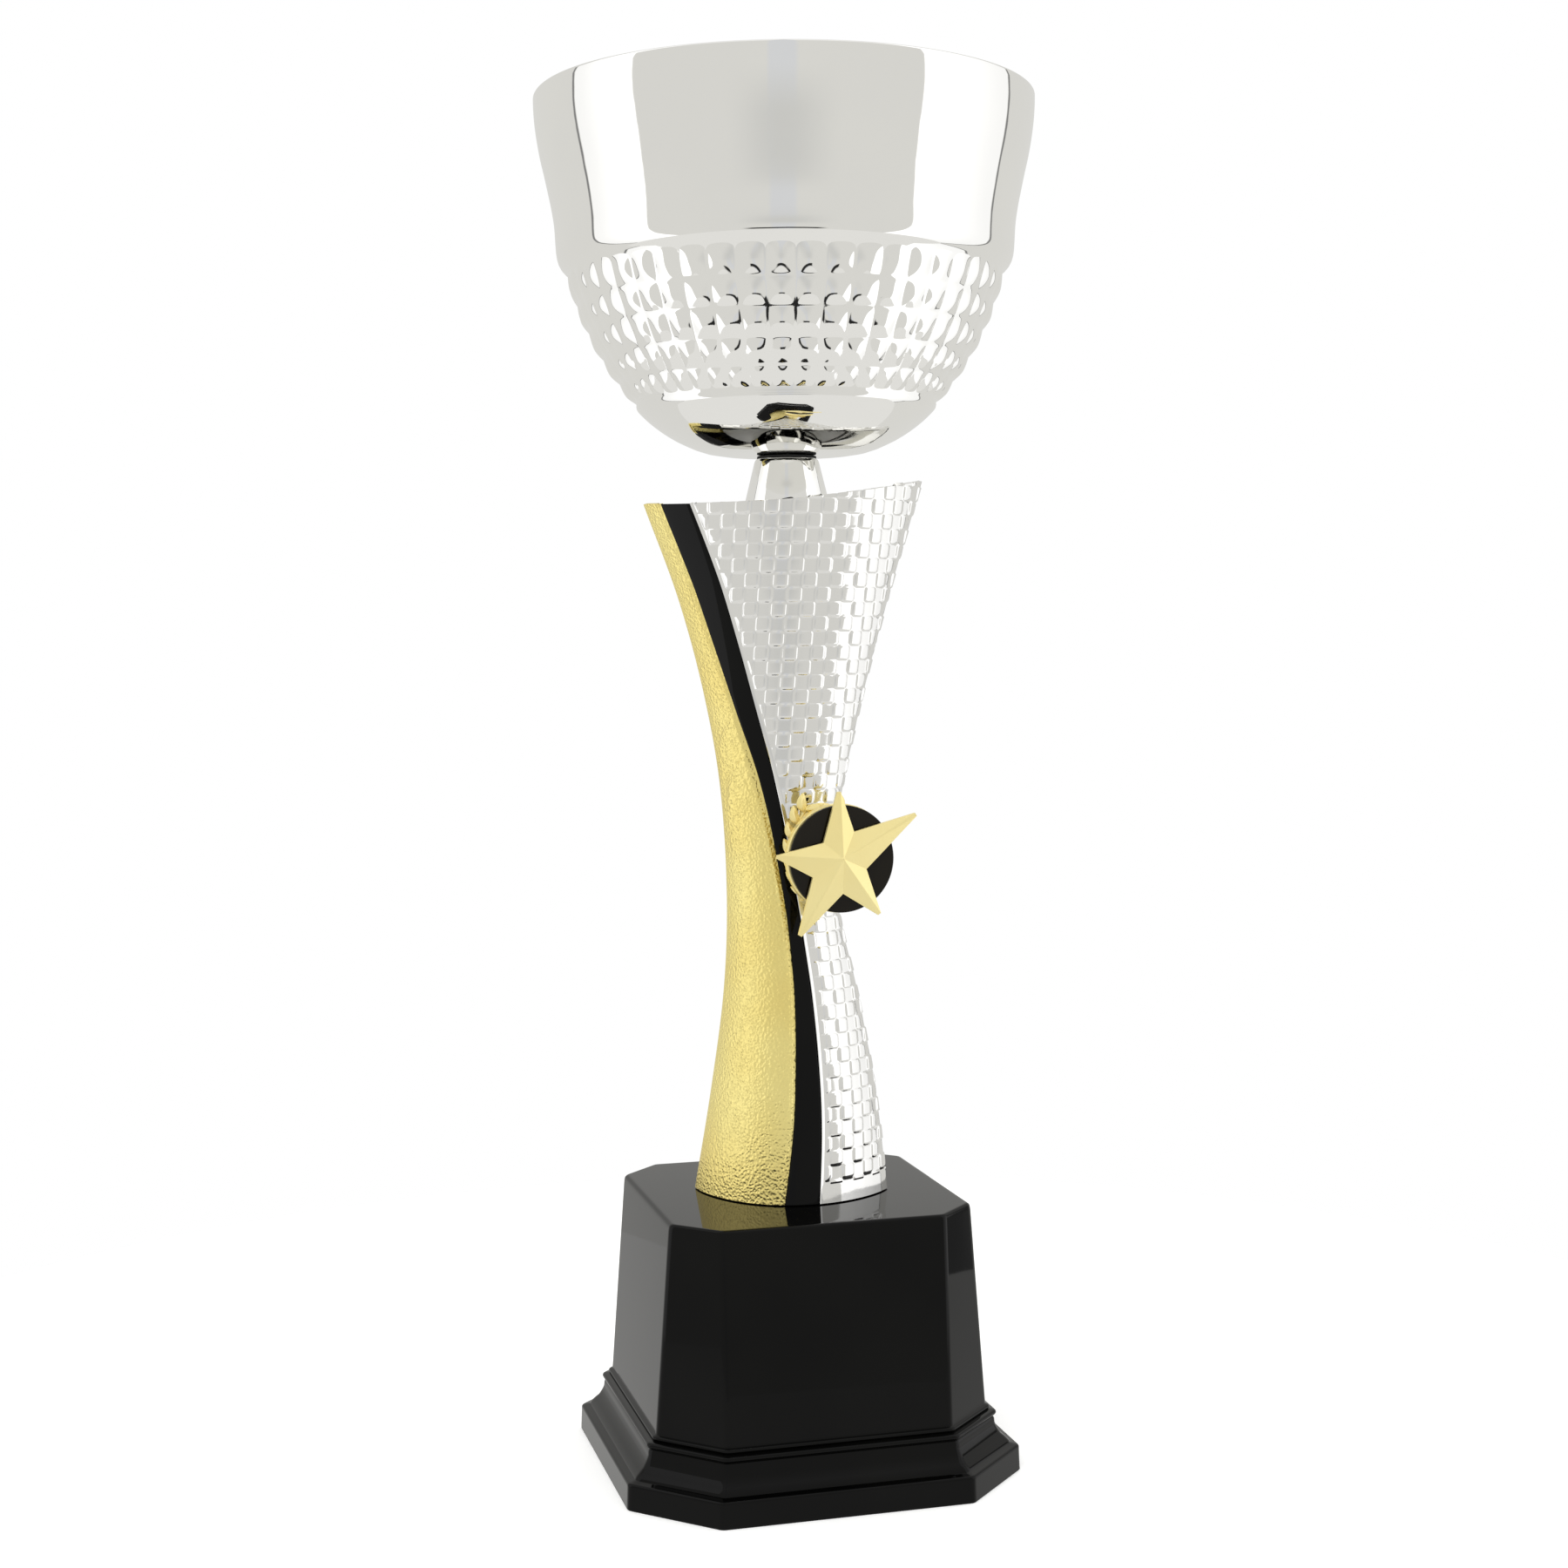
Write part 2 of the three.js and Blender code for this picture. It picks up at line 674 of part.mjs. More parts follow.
// Upper seat: the cone stands on its flat top, and its boss hangs down round the rod.
function topSeat() {
  const low = SEAT_TOP - SEAT_THICKNESS;
  const top = insideRing(SEAT_TOP);
  const rings = [
    insideRing(low),
    top,
    circleLike(top, ROD_HOLE, SEAT_TOP),
    circleLike(top, ROD_HOLE, low - PLUG_BOSS_HEIGHT),
    circleLike(top, PLUG_BOSS_RADIUS, low - PLUG_BOSS_HEIGHT),
    circleLike(top, PLUG_BOSS_RADIUS, low),
  ];
  return skin(rings, true);
}

// Silver panel: it wraps the right-hand side and takes the badge screw.
function silverColumn() {
  const wall = solid(panel(silverEdge, mirrored(silverEdge), SILVER_STEPS));
  const drill = [[0, 0], [SCREW_HOLE, 0], [SCREW_HOLE, DISC_FRONT], [0, DISC_FRONT]];
  return geometryOf(wall.subtract(solid(facing(drill, NECK_X, BADGE_Z, ROD_ROUND))));
}

// ---------------------------------------------------------------- stem and cup

function stemCone() {
  const slope = (STEM_FOOT_RADIUS - STEM_TOP_RADIUS) / STEM_HEIGHT;
  return turned([
    [STEM_FOOT_RADIUS, STEM_LOW],
    [STEM_TOP_RADIUS, STEM_TOP],
    [ROD_HOLE, STEM_TOP],
    [ROD_HOLE, STEM_TOP - STEM_WALL],
    [STEM_TOP_RADIUS - STEM_WALL + slope * STEM_WALL, STEM_TOP - STEM_WALL],
    [STEM_FOOT_RADIUS - STEM_WALL, STEM_LOW],
  ], CONE_ROUND);
}

// Outer face of the bowl from the rod hole to the rim, as [radius, height above its underside].
function bowlOuter() {
  const rows = ROW_GROOVES.slice(1).flatMap((high, i) => {
    const low = ROW_GROOVES[i];
    const run = high[0] - low[0];
    const rise = high[1] - low[1];
    const out = ROW_STAND_OUT / Math.hypot(run, rise);
    const middle = [(low[0] + high[0]) / 2 + rise * out, (low[1] + high[1]) / 2 - run * out];
    return [middle, high];
  });
  return [
    [CUP_FLAT_RADIUS, 0],
    ...PAN,
    ROW_GROOVES[0],
    ...rows,
    ...SHOULDER,
    NECK,
    [CUP_RIM_RADIUS - FLARE_INSET, CUP_HEIGHT - FLARE_DROP],
    [CUP_RIM_RADIUS - LIP_INSET, CUP_HEIGHT - LIP_DROP],
    [CUP_RIM_RADIUS, CUP_HEIGHT - RIM_ROUNDING],
  ];
}

function cupBowl() {
  const outer = bowlOuter();
  const inner = outer.map(([r, z], i) => {
    const [beforeR, beforeZ] = outer[Math.max(i - 1, 0)];
    const [afterR, afterZ] = outer[Math.min(i + 1, outer.length - 1)];
    const length = Math.hypot(afterR - beforeR, afterZ - beforeZ);
    const acrossR = (afterZ - beforeZ) / length;
    const acrossZ = (afterR - beforeR) / length;
    return [r - acrossR * CUP_WALL, z + acrossZ * CUP_WALL];
  });
  inner[0] = [CUP_FLAT_RADIUS, CUP_WALL];
  const rim = [[CUP_RIM_RADIUS - RIM_ROUNDING, CUP_HEIGHT]];
  const profile = [
    [ROD_HOLE, 0],
    ...outer,
    ...rim,
    ...inner.reverse(),
    [ROD_HOLE, CUP_WALL],
  ];
  return turned(profile.map(([r, z]) => [r, z + CUP_LOW]), ROUND);
}

// ---------------------------------------------------------------- front badge

// Puck that carries the disc, with a neck back to the column and a hole for its screw.
function discHolder() {
  const bevel = HOLDER_EDGE;
  const puck = solid(facing([
    [0, HOLDER_BACK],
    [HOLDER_RADIUS - bevel, HOLDER_BACK],
    [HOLDER_RADIUS, HOLDER_BACK + bevel],
    [HOLDER_RADIUS, HOLDER_FRONT],
    [0, HOLDER_FRONT],
  ], DISC_X, BADGE_Z, HOLDER_ROUND));
  const rod = (radius, from, to) => {
    const profile = [[0, from], [radius, from], [radius, to], [0, to]];
    return solid(facing(profile, NECK_X, BADGE_Z, NECK_ROUND));
  };
  const span = 3 * BADGE_NECK_RADIUS;
  const nearby = Array.from({ length: NECK_RINGS + 1 }, (_, i) => {
    const z = BADGE_Z - span + (2 * span * i) / NECK_RINGS;
    return Array.from({ length: NECK_RING_POINTS }, (__, k) => {
      return columnPoint((TURN * k) / NECK_RING_POINTS, z, -GAP);
    });
  });
  const column = solid(skin(nearby, false));
  const neck = rod(BADGE_NECK_RADIUS, 0, HOLDER_BACK + NECK_OVERLAP).subtract(column);
  const drill = rod(SCREW_HOLE, 0, DISC_FRONT);
  const pocket = rod(SCREW_HEAD_RADIUS + GAP, HOLDER_FRONT - SCREW_HEAD_HEIGHT - GAP, DISC_FRONT);
  return geometryOf(puck.add(neck).subtract(drill).subtract(pocket));
}

function holderScrew() {
  const head = HOLDER_FRONT - SCREW_SINK;
  const shoulder = head - SCREW_HEAD_HEIGHT;
  return facing([
    [0, head - SCREW_LENGTH],
    [SCREW_RADIUS, head - SCREW_LENGTH + SCREW_POINT],
    [SCREW_RADIUS, shoulder],
    [SCREW_HEAD_RADIUS, shoulder],
    [SCREW_HEAD_RADIUS, head],
    [0, head],
  ], NECK_X, BADGE_Z, ROD_ROUND);
}

function disc(radius, back, front, x) {
  const profile = [[0, back], [radius, back], [radius, front], [0, front]];
  return facing(profile, x, BADGE_Z, DISC_ROUND);
}

// Point of the wreath's oval at an angle from its foot, going up the right-hand side.
function wreathPoint(angle, grow = 0) {
  return new THREE.Vector2(
    WREATH_X + (WREATH_HALF_WIDTH + grow) * Math.sin(angle),
    WREATH_Z - (WREATH_HALF_HEIGHT + grow) * Math.cos(angle),
  );
}

// Leaf outline that starts on the oval and leans outwards in the direction of growth.
function leaf(angle, side) {
  const start = wreathPoint(side * angle);
  const growth = wreathPoint(side * (angle + LEAF_REACH)).sub(start);
  const turn = growth.angle() - side * radians(LEAF_LEAN);
  return LEAF_OUTLINE.map(([length, width]) => {
    const point = new THREE.Vector2(length * LEAF_LENGTH, (width * LEAF_WIDTH) / 2);
    return point.rotateAround(new THREE.Vector2(), turn).add(start).toArray();
  });
}

// Laurel wreath: two branches of leaves on an open oval strip, with an arm to the neck.
function laurelWreath() {
  const back = WREATH_FRONT - WREATH_THICKNESS;
  const plate = (outline) => solid(frontPlate(outline, back, WREATH_FRONT));
  const end = Math.PI - radians(WREATH_OPENING);
  const steps = Array.from({ length: WREATH_STEPS + 1 }, (_, i) => {
    return -end + (2 * end * i) / WREATH_STEPS;
  });
  const edge = (grow) => steps.map((angle) => wreathPoint(angle, grow).toArray());
  let wreath = plate([...edge(WREATH_STRIP / 2), ...edge(-WREATH_STRIP / 2).reverse()]);
  for (const side of [1, -1]) {
    for (let i = 0; i < WREATH_LEAVES; i += 1) {
      const angle = ((end - LEAF_FREE_END) * (i + LEAF_START)) / WREATH_LEAVES;
      wreath = wreath.add(plate(leaf(angle, side)));
    }
  }
  const hole = BADGE_NECK_RADIUS + GAP;
  const hub = solid(disc(hole + WREATH_HUB, back, WREATH_FRONT, NECK_X));
  const arm = plate([
    [WREATH_X - WREATH_HALF_WIDTH, BADGE_Z - WREATH_ARM / 2],
    [WREATH_X + WREATH_HALF_WIDTH, BADGE_Z - WREATH_ARM / 2],
    [WREATH_X + WREATH_HALF_WIDTH, BADGE_Z + WREATH_ARM / 2],
    [WREATH_X - WREATH_HALF_WIDTH, BADGE_Z + WREATH_ARM / 2],
  ]);
  const drill = solid(disc(hole, 0, DISC_FRONT, NECK_X));
  return geometryOf(wreath.add(hub).add(arm).subtract(drill));
}

// Star: a ridged face over an irregular outline with blunt tips.
function star() {
  const at = (radius, angle) => {
    const turn = radians(angle);
    return new THREE.Vector2(radius * Math.cos(turn), radius * Math.sin(turn));
  };
  const outline = [];
  for (let i = 0; i < STAR_TIPS.length; i += 1) {
    const [radius, angle] = STAR_TIPS[i];
    const aside = THREE.MathUtils.radToDeg(STAR_TIP_WIDTH / radius);
    outline.push(at(radius, angle - aside), at(radius, angle + aside), at(...STAR_NOTCHES[i]));
  }
  const count = outline.length;
  const front = STAR_BACK + STAR_EDGE;
  const place = (p, distance) => [DISC_X + p.x, -distance, BADGE_Z + p.y];
  const positions = [
    ...outline.flatMap((p) => place(p, STAR_BACK)),
    ...outline.flatMap((p) => place(p, front)),
    ...place(new THREE.Vector2(...STAR_PEAK), STAR_BACK),
    ...place(new THREE.Vector2(...STAR_PEAK), front + STAR_RISE),
  ];
  const index = [];
  for (let k = 0; k < count; k += 1) {
    const next = (k + 1) % count;
    index.push(k, next, count + next, k, count + next, count + k);
    index.push(count + k, count + next, 2 * count + 1);
    index.push(next, k, 2 * count);
  }
  const geometry = new THREE.BufferGeometry();
  geometry.setAttribute('position', new THREE.Float32BufferAttribute(positions, 3));
  geometry.setIndex(index);
  return geometry;
}

// ---------------------------------------------------------------- assembly

function finish(color, roughness, metalness) {
  return new THREE.MeshStandardMaterial({ color, roughness, metalness });
}

const chrome = finish(0xd8d7d1, 0.08, 1);
const steel = finish(0xb4b4b0, 0.35, 1);
const silverPlating = finish(0xd4d3ce, 0.12, 1);
const goldPlating = finish(0xe8d07a, 0.38, 1);
const glossBlack = finish(0x0d0d0c, 0.08, 0);
const mattBlack = finish(0x161616, 0.7, 0);
const greyPlastic = finish(0xbcbcb9, 0.5, 0);
const ballast = finish(0x8d8b86, 0.9, 0);
const felt = finish(0x1b1b1b, 1, 0);
const foam = finish(0xe9e9e6, 0.9, 0);

const trophy = new THREE.Group();

function place(name, geometry, material) {
  const mesh = new THREE.Mesh(geometry, material);
  mesh.name = name;
  trophy.add(mesh);
}

place('base_shell', baseShell(), glossBlack);
place('base_weight', baseWeight(), ballast);
place('base_pad', basePad(), felt);
place('tie_rod', turned([
  [0, ROD_END_LOW],
  [ROD_RADIUS, ROD_END_LOW],
  [ROD_RADIUS, ROD_END_HIGH],
  [0, ROD_END_HIGH],
], ROD_ROUND), steel);
place('base_washer', washer(ROD_HOLE, WASHER_RADIUS, BASE_WASHER_LOW, WASHER_THICKNESS), steel);
place('base_spring_washer', springWasher(), steel);
place('base_nut', nut(BASE_NUT_LOW), steel);
place('column_foot_plug', footPlug(), mattBlack);
place('silver_column', silverColumn(), silverPlating);
place('gold_wing', panel(mirrored(goldEdge), (z) => goldEdge(z) + TURN, GOLD_STEPS), goldPlating);
place('black_band_front', band(goldEdge, silverEdge), glossBlack);
place('black_band_back', band(mirrored(silverEdge), mirrored(goldEdge)), glossBlack);
place('column_top_seat', topSeat(), greyPlastic);
place('stem_cone', stemCone(), chrome);
place('stem_gasket', washer(ROD_HOLE, GASKET_RADIUS, GASKET_LOW, GASKET_THICKNESS), mattBlack);
place('cup_bowl', cupBowl(), chrome);
place('bowl_seal', washer(ROD_HOLE, SEAL_RADIUS, SEAL_LOW, SEAL_THICKNESS), mattBlack);
place('bowl_washer', washer(ROD_HOLE, WASHER_RADIUS, BOWL_WASHER_LOW, WASHER_THICKNESS), steel);
place('bowl_nut', nut(BOWL_NUT_LOW), steel);
place('laurel_wreath', laurelWreath(), goldPlating);
place('disc_holder', discHolder(), goldPlating);
place('holder_screw', holderScrew(), steel);
place(
  'disc_pad',
  disc(DISC_RADIUS - PAD_INSET, HOLDER_FRONT + GAP, DISC_BACK - GAP, DISC_X),
  foam,
);
place('black_disc', disc(DISC_RADIUS, DISC_BACK, DISC_FRONT, DISC_X), glossBlack);
place('star_pad', disc(STAR_PAD_RADIUS, DISC_FRONT + GAP, STAR_BACK - GAP, DISC_X), foam);
place('star', star(), goldPlating);

export default trophy;
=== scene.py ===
"""Column trophy: the shown model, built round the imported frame.

Sizes are in millimetres until a mesh is made, and the frame's metres after that.
"""

import logging
import math
from dataclasses import dataclass, field
from enum import Enum
from typing import Callable, Sequence

import bmesh
import bpy
import numpy as np
from mathutils import Matrix, Vector


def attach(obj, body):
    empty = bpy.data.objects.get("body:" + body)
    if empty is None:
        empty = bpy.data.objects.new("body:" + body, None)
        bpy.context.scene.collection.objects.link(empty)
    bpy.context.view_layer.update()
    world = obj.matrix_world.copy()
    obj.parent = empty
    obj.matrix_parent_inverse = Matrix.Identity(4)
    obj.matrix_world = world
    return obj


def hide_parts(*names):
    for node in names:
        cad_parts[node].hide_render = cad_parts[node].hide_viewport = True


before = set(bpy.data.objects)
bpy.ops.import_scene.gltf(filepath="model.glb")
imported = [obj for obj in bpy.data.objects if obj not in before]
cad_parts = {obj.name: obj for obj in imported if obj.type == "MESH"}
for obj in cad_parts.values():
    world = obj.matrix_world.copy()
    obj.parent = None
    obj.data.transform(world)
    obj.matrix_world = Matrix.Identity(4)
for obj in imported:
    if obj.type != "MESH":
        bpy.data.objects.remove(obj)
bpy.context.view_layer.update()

LOG = logging.getLogger("trophy")
MM = 0.001
TURN = 2 * math.pi
SHARP = math.radians(33)

Points = Sequence[tuple[float, float]]


# ---------------------------------------------------------------- numbers and curves


def ease(value: np.ndarray) -> np.ndarray:
    """Smooth step from 0 to 1 over the same range of values."""
    held = np.clip(value, 0, 1)
    return held * held * (3 - 2 * held)


class Curve:
    """Smooth curve through points, by the same rule as the CAD solids."""

    def __init__(self, points: Points) -> None:
        """Keeps the points and the slope at each one.

        Args:
            points: Pairs of place and value, in rising order of place.
        """
        self.at = np.array([p[0] for p in points], float)
        self.value = np.array([p[1] for p in points], float)
        last = len(points) - 1
        before = np.maximum(np.arange(last + 1) - 1, 0)
        after = np.minimum(np.arange(last + 1) + 1, last)
        self.slope = (self.value[after] - self.value[before]) / (self.at[after] - self.at[before])

    def __call__(self, place: np.ndarray) -> np.ndarray:
        """Value of the curve.

        Args:
            place: One place or an array of them.

        Returns:
            The values there, in the same shape.
        """
        place = np.asarray(place, float)
        i = np.clip(np.searchsorted(self.at, place, side="left") - 1, 0, len(self.at) - 2)
        span = self.at[i + 1] - self.at[i]
        u = (place - self.at[i]) / span
        blend = u * u * (3 - 2 * u)
        leave = u * (1 - u) ** 2 * span * self.slope[i]
        arrive = u * u * (1 - u) * span * self.slope[i + 1]
        return self.value[i] + (self.value[i + 1] - self.value[i]) * blend + leave - arrive


def steps(start: float, end: float, count: int) -> list[float]:
    """Evenly spread numbers from start to end, both included."""
    return [start + (end - start) * i / count for i in range(count + 1)]


def arc_points(centre: tuple[float, float], radius: float, start: float, end: float, count: int) -> list:
    """Points of a circular arc in a profile.

    Args:
        centre: Middle of the arc, as radius and height.
        radius: Radius of the arc.
        start: First direction in degrees from the outward side.
        end: Last direction in degrees.
        count: Number of spans.

    Returns:
        The points, first to last.
    """
    angles = [math.radians(a) for a in steps(start, end, count)]
    return [(centre[0] + radius * math.cos(a), centre[1] + radius * math.sin(a)) for a in angles]


# ---------------------------------------------------------------- meshes


class Stock:
    """Makes and finishes meshes."""

    @staticmethod
    def of(name: str, points: np.ndarray, faces: Sequence[Sequence[int]]) -> bpy.types.Object:
        """Object from points in millimetres and faces.

        Args:
            name: Name of the piece.
            points: Corner places, one row each.
            faces: Corner numbers of each face.

        Returns:
            The linked object.
        """
        mesh = bpy.data.meshes.new(name)
        mesh.from_pydata((np.asarray(points) * MM).tolist(), [], [list(f) for f in faces])
        mesh.update()
        made = bpy.data.objects.new(name, mesh)
        bpy.context.scene.collection.objects.link(made)
        return made

    @staticmethod
    def grid_faces(rows: int, columns: int, around: bool, stacked: bool = False) -> list[tuple]:
        """Four-sided faces between neighbouring rows and columns of a grid.

        Args:
            rows: Number of rows.
            columns: Number of points in a row.
            around: Whether the last column meets the first.
            stacked: Whether the last row meets the first.

        Returns:
            The faces, anticlockwise where rows rise and columns go anticlockwise.
        """
        faces = []
        for i in range(rows if stacked else rows - 1):
            low, high = i * columns, ((i + 1) % rows) * columns
            for k in range(columns if around else columns - 1):
                after = (k + 1) % columns
                faces.append((low + k, low + after, high + after, high + k))
        return faces

    @classmethod
    def loft(cls, name: str, grid: np.ndarray, around: bool = True, stacked: bool = False,
             caps: bool = False) -> bpy.types.Object:
        """Skin over a grid of points.

        Args:
            name: Name of the piece.
            grid: Points by row and column.
            around: Whether each row closes on itself.
            stacked: Whether the last row joins the first.
            caps: Whether the first and last rows get an end face.

        Returns:
            The object.
        """
        rows, columns = grid.shape[:2]
        faces = cls.grid_faces(rows, columns, around, stacked)
        if caps:
            faces.append(tuple(range(columns - 1, -1, -1)))
            faces.append(tuple(range((rows - 1) * columns, rows * columns)))
        return cls.of(name, grid.reshape(-1, 3), faces)

    @classmethod
    def turned(cls, name: str, profile: Points, facets: int) -> bpy.types.Object:
        """Turned body about the upright axis from a closed profile.

        Args:
            name: Name of the piece.
            profile: Radius and height of each point, the material on the left.
            facets: Number of facets round the axis.

        Returns:
            The object.
        """
        turn = np.linspace(0, TURN, facets, endpoint=False)
        rings = [[(r * math.cos(a), r * math.sin(a), z) for a in turn] for r, z in profile]
        return cls.tidy(cls.loft(name, np.array(rings), stacked=True))

    @classmethod
    def facing(cls, name: str, profile: Points, centre: tuple[float, float], facets: int) -> bpy.types.Object:
        """Turned body about an axis that points to the front.

        Args:
            name: Name of the piece.
            profile: Radius and distance to the front of each point.
            centre: Place of the axis, as x and height.
            facets: Number of facets.

        Returns:
            The object.
        """
        made = cls.turned(name, profile, facets)
        made.data.transform(Matrix.Translation(Vector((centre[0], 0, centre[1])) * MM)
                            @ Matrix.Rotation(math.pi / 2, 4, "X"))
        return made

    @staticmethod
    def tidy(made: bpy.types.Object, closed: bool = True) -> bpy.types.Object:
        """Welds shared corners, drops empty faces and turns the faces outwards.

        Args:
            made: The object to finish.
            closed: Whether the body is closed, so that outwards can be worked out.

        Returns:
            The same object.
        """
        work = bmesh.new()
        work.from_mesh(made.data)
        bmesh.ops.remove_doubles(work, verts=work.verts, dist=2e-6)
        bmesh.ops.dissolve_degenerate(work, dist=2e-6, edges=work.edges)
        if closed:
            bmesh.ops.recalc_face_normals(work, faces=work.faces)
        work.to_mesh(made.data)
        work.free()
        return made

    @staticmethod
    def turn_in(made: bpy.types.Object, depth: float) -> bpy.types.Object:
        """Turns the open edges of a sheet in, square to the sheet.

        Args:
            made: The sheet.
            depth: How far the turned edge goes in, in millimetres.

        Returns:
            The same object.
        """
        work = bmesh.new()
        work.from_mesh(made.data)
        work.normal_update()
        edges = [e for e in work.edges if e.is_boundary]
        way = {tuple(v.co): v.normal.copy() for e in edges for v in e.verts}
        new = bmesh.ops.extrude_edge_only(work, edges=edges)
        for v in (g for g in new["geom"] if isinstance(g, bmesh.types.BMVert)):
            v.co -= way[tuple(v.co)] * depth * MM
        work.to_mesh(made.data)
        work.free()
        return made

    @staticmethod
    def shade(made: bpy.types.Object, angle: float = SHARP) -> bpy.types.Object:
        """Smooth shading, with edges over an angle kept sharp.

        Args:
            made: The object.
            angle: Angle in radians over which an edge stays sharp.

        Returns:
            The same object.
        """
        made.data.polygons.foreach_set("use_smooth", [True] * len(made.data.polygons))
        made.data.set_sharp_from_angle(angle=angle)
        return made

    @staticmethod
    def join(name: str, parts: Sequence[bpy.types.Object]) -> bpy.types.Object:
        """One object from several.

        Args:
            name: Name of the joined piece.
            parts: The objects, which are used up.

        Returns:
            The joined object.
        """
        work = bmesh.new()
        for part in parts:
            work.from_mesh(part.data)
        mesh = bpy.data.meshes.new(name)
        work.to_mesh(mesh)
        work.free()
        for part in parts:
            bpy.data.objects.remove(part)
        made = bpy.data.objects.new(name, mesh)
        bpy.context.scene.collection.objects.link(made)
        return made


# ---------------------------------------------------------------- finishes


class Tree:
    """Short way to add and join shader nodes."""

    def __init__(self, tree: bpy.types.NodeTree) -> None:
        """Keeps the tree that nodes are added to."""
        self.tree = tree

    def add(self, kind: str, inputs: dict | None = None, **settings: object) -> bpy.types.Node:
        """Adds a node.

        Args:
            kind: Node type, without its ShaderNode prefix.
            inputs: Values or output sockets for its inputs, by name or number.
            settings: Properties of the node.

        Returns:
            The node.
        """
        node = self.tree.nodes.new("ShaderNode" + kind)
        for key, value in settings.items():
            setattr(node, key, value)
        for key, value in (inputs or {}).items():
            if isinstance(value, bpy.types.NodeSocket):
                self.tree.links.new(value, node.inputs[key])
            else:
                node.inputs[key].default_value = value
        return node

    def math(self, operation: str, *values: object) -> bpy.types.NodeSocket:
        """Output of a Math node on numbers or sockets."""
        return self.add("Math", dict(enumerate(values)), operation=operation).outputs[0]

    def span(self, value: bpy.types.NodeSocket, start: float, end: float) -> bpy.types.NodeSocket:
        """Smooth step of a value from 0 at start to 1 at end."""
        inputs = {"Value": value, "From Min": start, "From Max": end}
        return self.add("MapRange", inputs, interpolation_type="SMOOTHSTEP").outputs["Result"]

    def window(self, value: bpy.types.NodeSocket, low: float, high: float,
               soft: float) -> bpy.types.NodeSocket:
        """1 between two values and 0 outside them, with soft ends."""
        return self.math("MULTIPLY", self.span(value, low - soft, low + soft),
                         self.span(value, high + soft, high - soft))

    def mix(self, share: object, first: object, second: object) -> bpy.types.NodeSocket:
        """Colour between two colours."""
        return self.add("Mix", {0: share, 6: first, 7: second}, data_type="RGBA").outputs[2]


